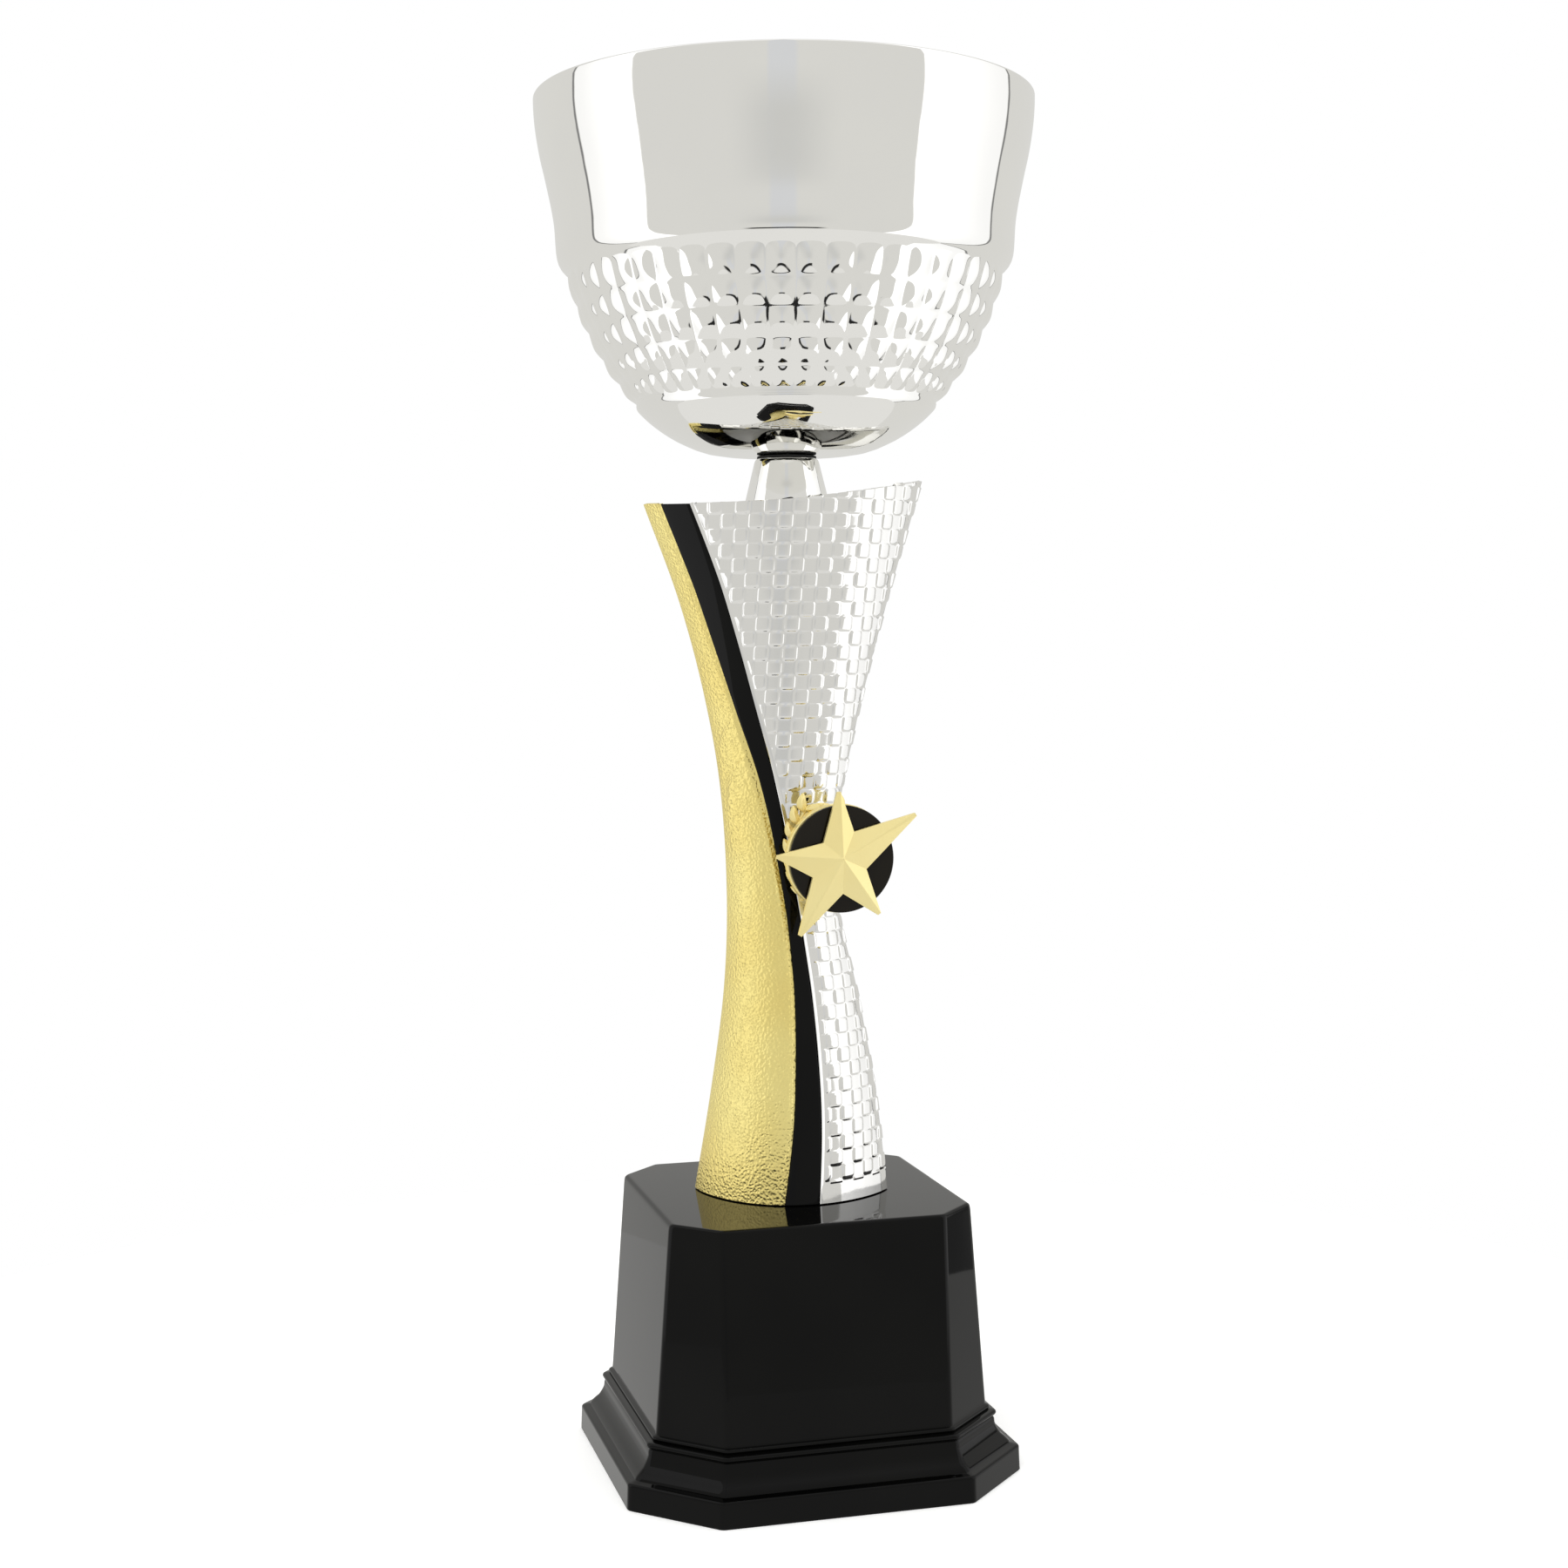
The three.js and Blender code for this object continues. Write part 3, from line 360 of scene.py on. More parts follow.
class Effects(Enum):
    """Effects of the surface that several finishes share, each built once as a node group."""

    TONE = "tone_drift"
    HAZE = "handling_haze"
    GRAIN = "fine_grain"
    HAMMER = "hammer_marks"
    EDGES = "edge_polish"

    def group(self) -> bpy.types.NodeTree:
        """The node group, made when it is first asked for."""
        return bpy.data.node_groups.get(self.value) or getattr(self, "_" + self.name.lower())()

    def _start(self, inputs: dict[str, tuple[str, object]], output: tuple[str, str]) -> tuple:
        """Empty group with named sockets.

        Args:
            inputs: Socket kind and default value by name.
            output: Name and kind of the output.

        Returns:
            The group, its Tree, its input node and its output socket.
        """
        group = bpy.data.node_groups.new(self.value, "ShaderNodeTree")
        for name, (kind, value) in inputs.items():
            socket = group.interface.new_socket(name, in_out="INPUT", socket_type="NodeSocket" + kind)
            if value is not None:
                socket.default_value = value
        group.interface.new_socket(output[0], in_out="OUTPUT", socket_type="NodeSocket" + output[1])
        given = group.nodes.new("NodeGroupInput").outputs
        return group, Tree(group), given, group.nodes.new("NodeGroupOutput").inputs[0]

    def _tone(self) -> bpy.types.NodeTree:
        """Slow drift between two near colours.

        Returns:
            The node group.
        """
        sockets = {"Place": ("Vector", None), "Colour": ("Color", (1, 1, 1, 1)),
                   "Drift": ("Color", (1, 1, 1, 1)), "Scale": ("Float", 30.0)}
        group, tree, given, out = self._start(sockets, ("Colour", "Color"))
        noise = tree.add("TexNoise", {"Vector": given["Place"], "Scale": given["Scale"], "Detail": 3.0})
        low, high = 0.35, 0.68  # where most of the noise lies
        share = tree.span(noise.outputs["Fac"], low, high)
        group.links.new(tree.mix(share, given["Colour"], given["Drift"]), out)
        return group

    def _haze(self) -> bpy.types.NodeTree:
        """Roughness between a clean and a hazy value, from wiping and handling.

        Returns:
            The node group.
        """
        sockets = {"Place": ("Vector", None), "Clean": ("Float", 0.1), "Hazy": ("Float", 0.2),
                   "Scale": ("Float", 40.0)}
        group, tree, given, out = self._start(sockets, ("Roughness", "Float"))
        low, high, upright = 0.3, 0.72, 0.35  # where most of the noise lies, and its upright stretch
        stretched = tree.add("Mapping", {"Vector": given["Place"], "Scale": (1, 1, upright)})
        noise = tree.add("TexNoise", {"Vector": stretched.outputs[0], "Scale": given["Scale"],
                                      "Detail": 6.0, "Roughness": 0.62})
        inputs = {"Value": noise.outputs["Fac"], "From Min": low, "From Max": high,
                  "To Min": given["Clean"], "To Max": given["Hazy"]}
        group.links.new(tree.add("MapRange", inputs).outputs["Result"], out)
        return group

    def _grain(self) -> bpy.types.NodeTree:
        """Fine even height, as moulded or lacquered surfaces have.

        Returns:
            The node group.
        """
        sockets = {"Place": ("Vector", None), "Scale": ("Float", 900.0), "Detail": ("Float", 3.0)}
        group, tree, given, out = self._start(sockets, ("Height", "Float"))
        noise = tree.add("TexNoise", {"Vector": given["Place"], "Scale": given["Scale"],
                                      "Detail": given["Detail"]})
        group.links.new(noise.outputs["Fac"], out)
        return group

    def _hammer(self) -> bpy.types.NodeTree:
        """Height of shallow hammer marks, broken up by a finer grain.

        Returns:
            The node group.
        """
        sockets = {"Place": ("Vector", None), "Scale": ("Float", 900.0)}
        group, tree, given, out = self._start(sockets, ("Height", "Float"))
        bend_scale, bend, fine_scale, fine_share = 260.0, 0.0012, 2200.0, 0.35
        bent = tree.add("TexNoise", {"Vector": given["Place"], "Scale": bend_scale, "Detail": 2.0})
        shift = tree.add("VectorMath", {0: bent.outputs["Color"], 1: (bend, bend, bend)},
                         operation="MULTIPLY")
        place = tree.add("VectorMath", {0: given["Place"], 1: shift.outputs[0]}, operation="ADD")
        cells = tree.add("TexVoronoi", {"Vector": place.outputs[0], "Scale": given["Scale"],
                                        "Smoothness": 0.7}, feature="SMOOTH_F1")
        fine = tree.add("TexNoise", {"Vector": given["Place"], "Scale": fine_scale, "Detail": 2.0})
        both = tree.math("MULTIPLY_ADD", fine.outputs["Fac"], fine_share, cells.outputs["Distance"])
        group.links.new(both, out)
        return group

    def _edges(self) -> bpy.types.NodeTree:
        """Mask of the outward edges, where plating and lacquer wear bright.

        Returns:
            The node group.
        """
        sockets = {"From": ("Float", 0.52), "To": ("Float", 0.6)}
        group, tree, given, out = self._start(sockets, ("Mask", "Float"))
        point = tree.add("NewGeometry").outputs["Pointiness"]
        inputs = {"Value": point, "From Min": given["From"], "From Max": given["To"]}
        group.links.new(tree.add("MapRange", inputs).outputs["Result"], out)
        return group


@dataclass(frozen=True)
class Finish:
    """A surface finish: colour, gloss and fine relief."""

    name: str
    colour: tuple[float, float, float]
    drift: tuple[float, float, float]
    metallic: float = 0.0
    clean: float = 0.1
    hazy: float = 0.16
    haze_scale: float = 45.0
    drift_scale: float = 30.0
    ior: float = 1.45
    relief: Effects = Effects.GRAIN
    relief_scale: float = 900.0
    relief_depth: float = 0.004
    edge_colour: tuple[float, float, float] | None = None
    sheen: float = 0.0

    def build(self) -> bpy.types.Material:
        """Material with its nodes.

        Returns:
            The material, made once for each finish.
        """
        known = bpy.data.materials.get(self.name)
        if known:
            return known
        material = bpy.data.materials.new(self.name)
        material.use_nodes = True
        tree = Tree(material.node_tree)
        shader = material.node_tree.nodes["Principled BSDF"]
        shader.inputs["Metallic"].default_value = self.metallic
        shader.inputs["IOR"].default_value = self.ior
        shader.inputs["Sheen Weight"].default_value = self.sheen
        place = tree.add("TexCoord").outputs["Object"]
        tone = self._effect(tree, Effects.TONE, Place=place, Colour=(*self.colour, 1),
                            Drift=(*self.drift, 1), Scale=self.drift_scale)
        if self.edge_colour:
            mask = self._effect(tree, Effects.EDGES)
            tone = tree.mix(mask, tone, (*self.edge_colour, 1))
        haze = self._effect(tree, Effects.HAZE, Place=place, Clean=self.clean, Hazy=self.hazy,
                            Scale=self.haze_scale)
        height = self._effect(tree, self.relief, Place=place, Scale=self.relief_scale)
        bump = tree.add("Bump", {"Height": height, "Strength": 1.0, "Distance": self.relief_depth * MM})
        for source, target in ((tone, "Base Color"), (haze, "Roughness"), (bump.outputs[0], "Normal")):
            material.node_tree.links.new(source, shader.inputs[target])
        return material

    @staticmethod
    def _effect(tree: Tree, effect: Effects, **inputs: object) -> bpy.types.NodeSocket:
        """Places one shared effect in a material.

        Args:
            tree: The material's tree.
            effect: Which effect.
            inputs: Its values or sockets.

        Returns:
            The effect's output.
        """
        node = tree.add("Group", node_tree=effect.group())
        for key, value in inputs.items():
            if isinstance(value, bpy.types.NodeSocket):
                tree.tree.links.new(value, node.inputs[key])
            else:
                node.inputs[key].default_value = value
        return node.outputs[0]


CHROME = Finish("chrome_plate", (0.955, 0.95, 0.925), (0.94, 0.935, 0.915), metallic=1, clean=0.025,
                hazy=0.045, relief_scale=55, relief_depth=0.05)
SILVER = Finish("silver_plate", (0.9, 0.895, 0.875), (0.875, 0.87, 0.85), metallic=1, clean=0.06,
                hazy=0.11, relief_scale=380, relief_depth=0.012)
GOLD = Finish("hammered_gold", (1.0, 0.86, 0.34), (0.96, 0.79, 0.28), metallic=1, clean=0.3, hazy=0.42,
              relief=Effects.HAMMER, relief_scale=1500, relief_depth=0.26)
SATIN_GOLD = Finish("satin_gold", (1.0, 0.87, 0.42), (0.98, 0.83, 0.37), metallic=0.6, clean=0.3, hazy=0.38,
                    relief_scale=2600, relief_depth=0.02)
LACQUER = Finish("black_lacquer", (0.001, 0.001, 0.001), (0.002, 0.002, 0.0018), clean=0.02, hazy=0.05,
                 ior=1.24, relief_scale=120, relief_depth=0.004)
DISC_BLACK = Finish("black_disc_face", (0.006, 0.0045, 0.002), (0.008, 0.006, 0.003), clean=0.16,
                    hazy=0.22, ior=1.3, relief_scale=700, relief_depth=0.004)
STEEL = Finish("bright_steel", (0.62, 0.61, 0.59), (0.53, 0.52, 0.5), metallic=1, clean=0.22, hazy=0.38,
               relief_scale=1500, relief_depth=0.02, edge_colour=(0.75, 0.74, 0.72))
RUBBER = Finish("black_rubber", (0.012, 0.012, 0.012), (0.018, 0.018, 0.017), clean=0.55, hazy=0.75,
                relief_scale=2500, relief_depth=0.03)
SEAT_PLASTIC = Finish("pale_grey_plastic", (0.6, 0.6, 0.585), (0.54, 0.54, 0.53), clean=0.35, hazy=0.5,
                      relief_scale=1800, relief_depth=0.02)
PLASTIC = Finish("matt_plastic", (0.02, 0.02, 0.02), (0.028, 0.028, 0.027), clean=0.45, hazy=0.6,
                 relief_scale=1800, relief_depth=0.03)
BALLAST = Finish("cast_ballast", (0.27, 0.26, 0.245), (0.21, 0.2, 0.185), clean=0.8, hazy=0.95,
                 relief_scale=420, relief_depth=0.3)
FELT = Finish("felt_pad", (0.012, 0.012, 0.012), (0.03, 0.03, 0.03), clean=0.9, hazy=1.0,
              drift_scale=900, relief_scale=3200, relief_depth=0.3, sheen=0.6)
FOAM = Finish("adhesive_foam", (0.8, 0.79, 0.76), (0.72, 0.71, 0.67), clean=0.75, hazy=0.9,
              relief_scale=2600, relief_depth=0.1)


# ---------------------------------------------------------------- putting pieces in the frame


class Bench:
    """Puts finished pieces and kept CAD nodes in the frame."""

    BODY = "root"

    def show(self, made: bpy.types.Object, finish: Finish, slot: str, *nodes: str) -> bpy.types.Object:
        """Gives a piece its finish and its place in the frame.

        Args:
            made: The piece.
            finish: Its finish.
            slot: The record's material slot, not used.
            nodes: CAD nodes that it stands for.

        Returns:
            The piece.
        """
        made.data.materials.append(finish.build())
        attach(made, self.BODY)
        if nodes:
            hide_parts(*nodes)
        LOG.info("made %s: %d faces for %s", made.name, len(made.data.polygons), ", ".join(nodes))
        return made

    def keep(self, finish: Finish, *nodes: str) -> None:
        """Gives CAD nodes that stay as they are their finish.

        Args:
            finish: The finish.
            nodes: Names of the CAD nodes.
        """
        for name in nodes:
            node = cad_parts[name]
            if not node.material_slots:
                node.data.materials.append(finish.build())
            for held in node.material_slots:
                held.material = finish.build()
            LOG.info("kept %s", name)


# ---------------------------------------------------------------- base


@dataclass
class Base:
    """Square block with cut corners on a moulded foot, with its ballast, pad and hardware."""

    height: float = 65.5
    top_half: float = 37.0
    top_cut: float = 10.1
    body_low: float = 16.0
    body_half: float = 40.7
    body_cut: float = 13.65
    foot_half: float = 48.4
    foot_cut: float = 18.2
    foot_height: float = 6.3
    wall: float = 3.0
    ceiling: float = 3.5
    rod_hole: float = 3.3
    corner_round: float = 0.8
    corner_steps: int = 3
    top_round: float = 1.1
    beside: float = 0.5
    plinth_round: float = 0.7
    # Cove above the plinth: how far out from and below the foot of the plain body.
    cove: Points = ((5.5, 9.35), (5.18, 8.73), (4.2, 7.75), (3.33, 6.98), (2.6, 5.75), (2.25, 5.0),
                    (2.07, 4.37), (2.0, 3.5), (1.75, 3.0))
    # Beads above the cove: how far out and below their middles lie, their radius and last direction.
    beads: tuple[tuple[float, float, float, float], ...] = ((1.75, 1.98, 0.65, 90), (0.35, 0.62, 0.55, 80))

    def cut_at(self, half: float) -> float:
        """Leg of the corner cut where the block has this half width.

        Args:
            half: Half width of the block.

        Returns:
            The leg of the cut.
        """
        far_half, far_cut = (self.foot_half, self.foot_cut) if half > self.body_half else (
            self.top_half, self.top_cut)
        share = (half - self.body_half) / (far_half - self.body_half)
        return self.body_cut + (far_cut - self.body_cut) * share

    def ring(self, half: float, z: float, inset: float = 0.0) -> list[tuple]:
        """Eight-sided ring with slightly rounded corners.

        Args:
            half: Half width of the outside at this height.
            z: Height.
            inset: How far the ring lies inside the outside, square to each side.

        Returns:
            Six points to a corner, anticlockwise, the outer two on the flats beside it.
        """
        cut = self.cut_at(half) - (2 - math.sqrt(2)) * inset
        half = half - inset
        flat = half - cut
        corners = [(flat, -half), (half, -flat), (half, flat), (flat, half),
                   (-flat, half), (-half, flat), (-half, -flat), (-flat, -half)]
        points = []
        for i, corner in enumerate(corners):
            here = Vector(corner)
            before = (Vector(corners[i - 1]) - here).normalized()
            after = (Vector(corners[(i + 1) % 8]) - here).normalized()
            start, end = here + before * self.corner_round, here + after * self.corner_round
            bends = [start * (1 - share) ** 2 + here * 2 * share * (1 - share) + end * share ** 2
                     for share in steps(0, 1, self.corner_steps)]
            for bend in (start + before * self.beside, *bends, end + after * self.beside):
                points.append((bend.x, bend.y, z))
        return points

    def mouldings(self) -> list[tuple[float, float]]:
        """Outside of the foot and body, as half width and height, from the floor up.

        Returns:
            The points, from the floor up.
        """
        foot, low, half = self.foot_half, self.body_low, self.body_half
        plinth = [(foot - 0.15, 0), (foot, 0.2), (foot - 0.2, self.foot_height - 0.9)]
        edge_middle = (foot - 0.9, self.foot_height - self.plinth_round)
        plinth += arc_points(edge_middle, self.plinth_round, 0, 90, 5)
        cove = [(half + out, low - down) for out, down in self.cove]
        beads = [point for out, down, radius, end in self.beads
                 for point in arc_points((half + out, low - down), radius, -60, end, 7)]
        lean = (half - self.top_half) / (self.height - low)
        under = self.top_round + self.beside
        body = [(half + 0.05, low + 0.1), (half, low + 0.4), (half - lean, low + 1),
                (self.top_half + lean * under, self.height - under)]
        edge = arc_points((self.top_half - self.top_round, self.height - self.top_round),
                          self.top_round, 6, 90, 7)
        return [*plinth, *cove, *beads, *body, *edge, (self.top_half - under, self.height)]

    def shell(self) -> bpy.types.Object:
        """Hollow black block with its mouldings.

        Returns:
            The object.
        """
        rings = [self.ring(half, z) for half, z in self.mouldings()]
        under = self.height - self.ceiling
        share = (under - self.body_low) / (self.height - self.body_low)
        half = self.body_half + (self.top_half - self.body_half) * share
        around = [math.atan2(y, x) for x, y, _ in rings[0]]
        for z in (self.height, under):
            rings.append([(self.rod_hole * math.cos(a), self.rod_hole * math.sin(a), z) for a in around])
        for inside, z in ((half, under), (self.body_half, self.body_low),
                          (self.foot_half, self.foot_height), (self.foot_half, 0)):
            rings.append(self.ring(inside, z, self.wall))
        made = Stock.loft("base_block", np.array(rings), stacked=True)
        return Stock.shade(Stock.tidy(made), math.radians(30))

    def build(self, bench: Bench) -> None:
        """Makes and dresses the base.

        Args:
            bench: Puts the pieces in the frame.
        """
        bench.show(self.shell(), LACQUER, "base_gloss_black", "base_shell")
        bench.keep(BALLAST, "base_weight")
        bench.keep(FELT, "base_pad")
        bench.keep(STEEL, "base_washer", "base_spring_washer", "base_nut")


# ---------------------------------------------------------------- column


@dataclass
class Column:
    """Oval column: a tiled silver side, a hammered gold wing and black bands between them."""

    low: float = 65.8
    base_top: float = 65.5
    height: float = 167.7
    pointed: float = 1.5
    depth_share: Curve = field(default_factory=lambda: Curve((
        (0, 0.8), (0.25, 0.8), (0.4, 0.76), (0.5, 0.69), (0.6, 0.63), (0.75, 0.62), (1.06, 0.62))))
    turn: Curve = field(default_factory=lambda: Curve((
        (0, -18), (0.5, -18), (0.7, -17), (0.9, -14), (1.06, -12))))
    wall: float = 1.8
    gap: float = 0.3
    top_radius: float = 229.0
    top_low_at: float = -18.3
    left: Curve = field(default_factory=lambda: Curve((
        (0, 24.2), (0.15, 19.9), (0.3, 16.5), (0.44, 15.6), (0.6, 17.1), (0.74, 21.1), (0.87, 26.8),
        (1, 34.6), (1.06, 38.2))))
    right: Curve = field(default_factory=lambda: Curve((
        (0, 23.4), (0.15, 20.6), (0.3, 16.1), (0.4, 12.3), (0.49, 10.6), (0.59, 13.0), (0.74, 18.7),
        (0.87, 24.6), (1, 31.2), (1.06, 34.2))))
    gold_edge: Curve = field(default_factory=lambda: Curve((
        (0, -1.3), (0.1, 2.5), (0.2, 4.5), (0.32, 6.3), (0.42, 5.9), (0.5, -1.2), (0.6, -18.1),
        (0.7, -36.6), (0.8, -49.2), (0.9, -56.4), (1, -61.5), (1.06, -64.0))))
    silver_edge: Curve = field(default_factory=lambda: Curve((
        (0, 18.9), (0.1, 20.8), (0.2, 21.2), (0.32, 20.4), (0.42, 19.0), (0.5, 12.6), (0.6, -3.8),
        (0.7, -18.6), (0.8, -28.7), (0.9, -35.7), (1, -41.9), (1.06, -45.6))))
    tile: float = 3.44
    row: float = 3.467
    tile_start: Curve = field(default_factory=lambda: Curve((
        (62, 3.9), (75, 3.49), (90, 3.0), (110, 2.13), (130, 1.58), (145, 1.5), (160, 1.52), (175, 2.14),
        (190, 2.92), (205, 3.71), (216.7, 4.49), (228, 5.5), (246, 6.9))))
    row_start: float = 216.73
    tile_rise: float = 0.32
    tile_bevel: float = 0.22
    tile_corner: float = 0.75
    rim: float = 1.15
    rim_rise: float = 0.35
    foot_band: float = 70.2
    foot_rise: float = 0.1
    blade_rise: float = 0.45
    flange_width: float = 3.0
    flange_thickness: float = 1.2
    sheet_edge: float = 0.9
    core_inset: float = 0.55
    core_margin: float = 0.4
    core_drop: float = 0.02
    over: float = 8.0  # how far above the column the rows of a sheet start, before they are cut off
    settling: int = 12  # rounds that bring a line's end to the slanted top edge

    def __post_init__(self) -> None:
        """Tabulates the distance round the section, at every height and for a half length of 1."""
        self.turns = np.linspace(-math.pi / 2, math.pi / 2, 721)
        self.levels = np.linspace(self.base_top - 5, self.base_top + self.height * 1.08, 121)
        pace = self.pace(self.turns[None], self.levels[:, None])
        span = (pace[:, 1:] + pace[:, :-1]) / 2 * np.diff(self.turns)
        run = np.concatenate([np.zeros((len(span), 1)), np.cumsum(span, axis=1)], axis=1)
        self.runs = run - run[:, [len(self.turns) // 2]]

    def pace(self, angle: np.ndarray, z: np.ndarray) -> np.ndarray:
        """Distance round the section for one radian at an angle and height, for a half length of 1.

        Args:
            angle: Radians from the front of the section.
            z: Heights.

        Returns:
            The distances.
        """
        ahead = np.abs(np.cos(angle))
        sway = self.depth_share(self.share(z)) * self.pointed * ahead ** (self.pointed - 1)
        return np.hypot(ahead, sway * np.sin(angle))

    def share(self, z: np.ndarray) -> np.ndarray:
        """Share of the column's height."""
        return (np.asarray(z, float) - self.base_top) / self.height

    def length(self, z: np.ndarray) -> np.ndarray:
        """Half length of the section at a height."""
        return (self.left(self.share(z)) + self.right(self.share(z))) / 2

    def across(self, angle: np.ndarray, z: np.ndarray) -> np.ndarray:
        """How far along the section's own length the surface lies at an angle."""
        centre = (self.right(self.share(z)) - self.left(self.share(z))) / 2
        return centre + self.length(z) * np.sin(angle)

    def point(self, angle: np.ndarray, z: np.ndarray, out: np.ndarray) -> np.ndarray:
        """Points on the section before it is turned.

        Args:
            angle: Radians right of the section's front.
            z: Heights.
            out: How far outside the section the points lie, square to it.

        Returns:
            The points, with x, y and z last.
        """
        length = self.length(z)
        depth = length * self.depth_share(self.share(z))
        ahead = np.abs(np.cos(angle))
        front = np.sign(np.cos(angle))
        square_x = depth * self.pointed * np.sin(angle)
        square_y = length * front * ahead ** (2 - self.pointed)
        size = np.hypot(square_x, square_y)
        x = self.across(angle, z) + out * square_x / size
        y = -depth * front * ahead ** self.pointed - out * square_y / size
        return np.stack([x, y, z + 0 * x], axis=-1)

    def turned(self, points: np.ndarray) -> np.ndarray:
        """Points of the section turned to their place on the base.

        Args:
            points: Points with x, y and z last.

        Returns:
            The points in their place, in the same shape.
        """
        x, y, z = points[..., 0], points[..., 1], points[..., 2]
        turn = np.radians(self.turn(self.share(z)))
        cosine, sine = np.cos(turn), np.sin(turn)
        return np.stack([x * cosine - y * sine, x * sine + y * cosine, z], axis=-1)

    def angle_at(self, run: np.ndarray, z: np.ndarray) -> np.ndarray:
        """Angle at a distance round the surface from the front centre."""
        return self.looked_up(run / self.length(z), z, self.runs, self.turns)

    def run_at(self, angle: np.ndarray, z: np.ndarray) -> np.ndarray:
        """Distance round the surface from the front centre to an angle."""
        return self.looked_up(angle, z, self.turns, self.runs) * self.length(z)

    def looked_up(self, value: np.ndarray, z: np.ndarray, keys: np.ndarray, values: np.ndarray) -> np.ndarray:
        """Value read from the tables of distance and angle, between the two nearest levels.

        Args:
            value: What is looked up, in an array of the same shape as the heights.
            z: Heights.
            keys: Table that it is looked up in, by level if it has two dimensions.
            values: Table that the answer is read from, by level if it has two dimensions.

        Returns:
            The answers, in the same shape.
        """
        place = np.clip((z - self.levels[0]) / (self.levels[1] - self.levels[0]), 0, len(self.levels) - 1.001)
        level = np.floor(place).astype(int)
        below, above = np.zeros_like(value), np.zeros_like(value)
        for k in np.unique(level):
            here = level == k
            for answer, row in ((below, k), (above, k + 1)):
                row_keys = keys[row] if keys.ndim == 2 else keys
                row_values = values[row] if values.ndim == 2 else values
                answer[here] = np.interp(value[here], row_keys, row_values)
        return below + (above - below) * (place - level)

    def gold_angle(self, z: np.ndarray) -> np.ndarray:
        """Angle of the gold wing's edge at a height."""
        return np.radians(self.gold_edge(self.share(z)))

    def silver_angle(self, z: np.ndarray) -> np.ndarray:
        """Angle of the silver side's edge at a height."""
        return np.radians(self.silver_edge(self.share(z)))

    def edge_run(self, edge: Curve, z: np.ndarray) -> np.ndarray:
        """Distance from the front centre to one of the colour edges."""
        return self.run_at(np.radians(edge(self.share(z))), z)

    def top_at(self, across: np.ndarray) -> np.ndarray:
        """Height of the slanted, hollow top edge, by distance along the section."""
        off = across - self.top_low_at
        return self.base_top + self.height + self.top_radius - np.sqrt(self.top_radius ** 2 - off ** 2)

    def lay(self, heights: np.ndarray, count: int, runs: Callable, relief: Callable) -> np.ndarray:
        """Front half of a sheet on the column, cut off at the top edge.

        Args:
            heights: Heights of the rows.
            count: Number of points in a row.
            runs: Gives the distance round for an array of heights.
            relief: Gives the relief for distance round and height.

        Returns:
            Points by row and column.
        """
        wanted = np.repeat(heights[:, None], count, axis=1)
        z = np.minimum(wanted, self.base_top + self.height)
        for _ in range(self.settling):
            z = np.minimum(wanted, self.top_at(self.across(self.angle_at(runs(z), z), z)))
        run = runs(z)
        return self.point(self.angle_at(run, z), z, relief(run, z))

    def both_halves(self, front: np.ndarray, seam_last: bool) -> np.ndarray:
        """Front half and its mirror image at the back, joined at the side seam and turned.

        Args:
            front: Points of the front half by row and column.
            seam_last: Whether the side seam is the last column and not the first.

        Returns:
            Points of both halves by row and column.
        """
        back = front[:, ::-1] * np.array([1, -1, 1])
        halves = [front, back[:, 1:]] if seam_last else [back, front[:, 1:]]
        return self.turned(np.concatenate(halves, axis=1))

    def tile_lines(self, start: float, pitch: float, low: float, high: float) -> np.ndarray:
        """Places of the mesh lines across a run of tiles, close together at each bevel.

        Args:
            start: Edge of one of the tiles.
            pitch: Distance from tile to tile.
            low: Lowest place wanted.
            high: Highest place wanted.

        Returns:
            The places, rising.
        """
        b, c = self.tile_bevel, self.tile_corner
        parts = (-b, -b / 3, b / 3, b, c, pitch - c)
        first, last = math.floor((low - start) / pitch), math.ceil((high - start) / pitch)
        lines = [start + i * pitch + p for i in range(first, last + 1) for p in parts]
        return np.array([v for v in lines if low < v < high])

    def tile_relief(self, run: np.ndarray, z: np.ndarray) -> np.ndarray:
        """Height of the chequer of raised tiles.

        Args:
            run: Distances round from the front centre.
            z: Heights.

        Returns:
            Heights of the relief, in the same shape.
        """
        u, v = (run - self.tile_start(z)) / self.tile, (z - self.row_start) / self.row
        i, j = np.floor(u), np.floor(v)
        total = np.zeros_like(run)
        for di in (-1, 0, 1):
            for dj in (-1, 0, 1):
                raised = (i + di + j + dj) % 2 == 1
                across = (np.abs(u - i - di - 0.5) - 0.5) * self.tile + self.tile_corner
                above = (np.abs(v - j - dj - 0.5) - 0.5) * self.row + self.tile_corner
                outside = np.hypot(np.maximum(across, 0), np.maximum(above, 0))
                inside = self.tile_corner - outside - np.minimum(np.maximum(across, above), 0)
                here = ease((inside + self.tile_bevel) / (2 * self.tile_bevel))
                total = np.maximum(total, np.where(raised, here, 0))
        return total * self.tile_rise

    def silver_relief(self, run: np.ndarray, z: np.ndarray) -> np.ndarray:
        """Relief of the silver side: rim along the band, tiles, and a plain flared foot.

        Args:
            run: Distances round from the front centre.
            z: Heights.

        Returns:
            Heights of the relief, in the same shape.
        """
        off = run - self.edge_run(self.silver_edge, z)
        rim = self.rim_rise * np.clip(1 - off / self.rim, 0, 1) ** 2
        edge = -0.25 * (1 - ease(off / 0.25))
        tiles = self.tile_relief(run, z) * ease((off - self.rim) / 0.5) * ease((z - self.foot_band) / 0.5)
        foot = self.foot_rise * (1 - ease((z - self.foot_band + 0.4) / 0.5))
        return np.maximum(rim, foot) + edge + tiles

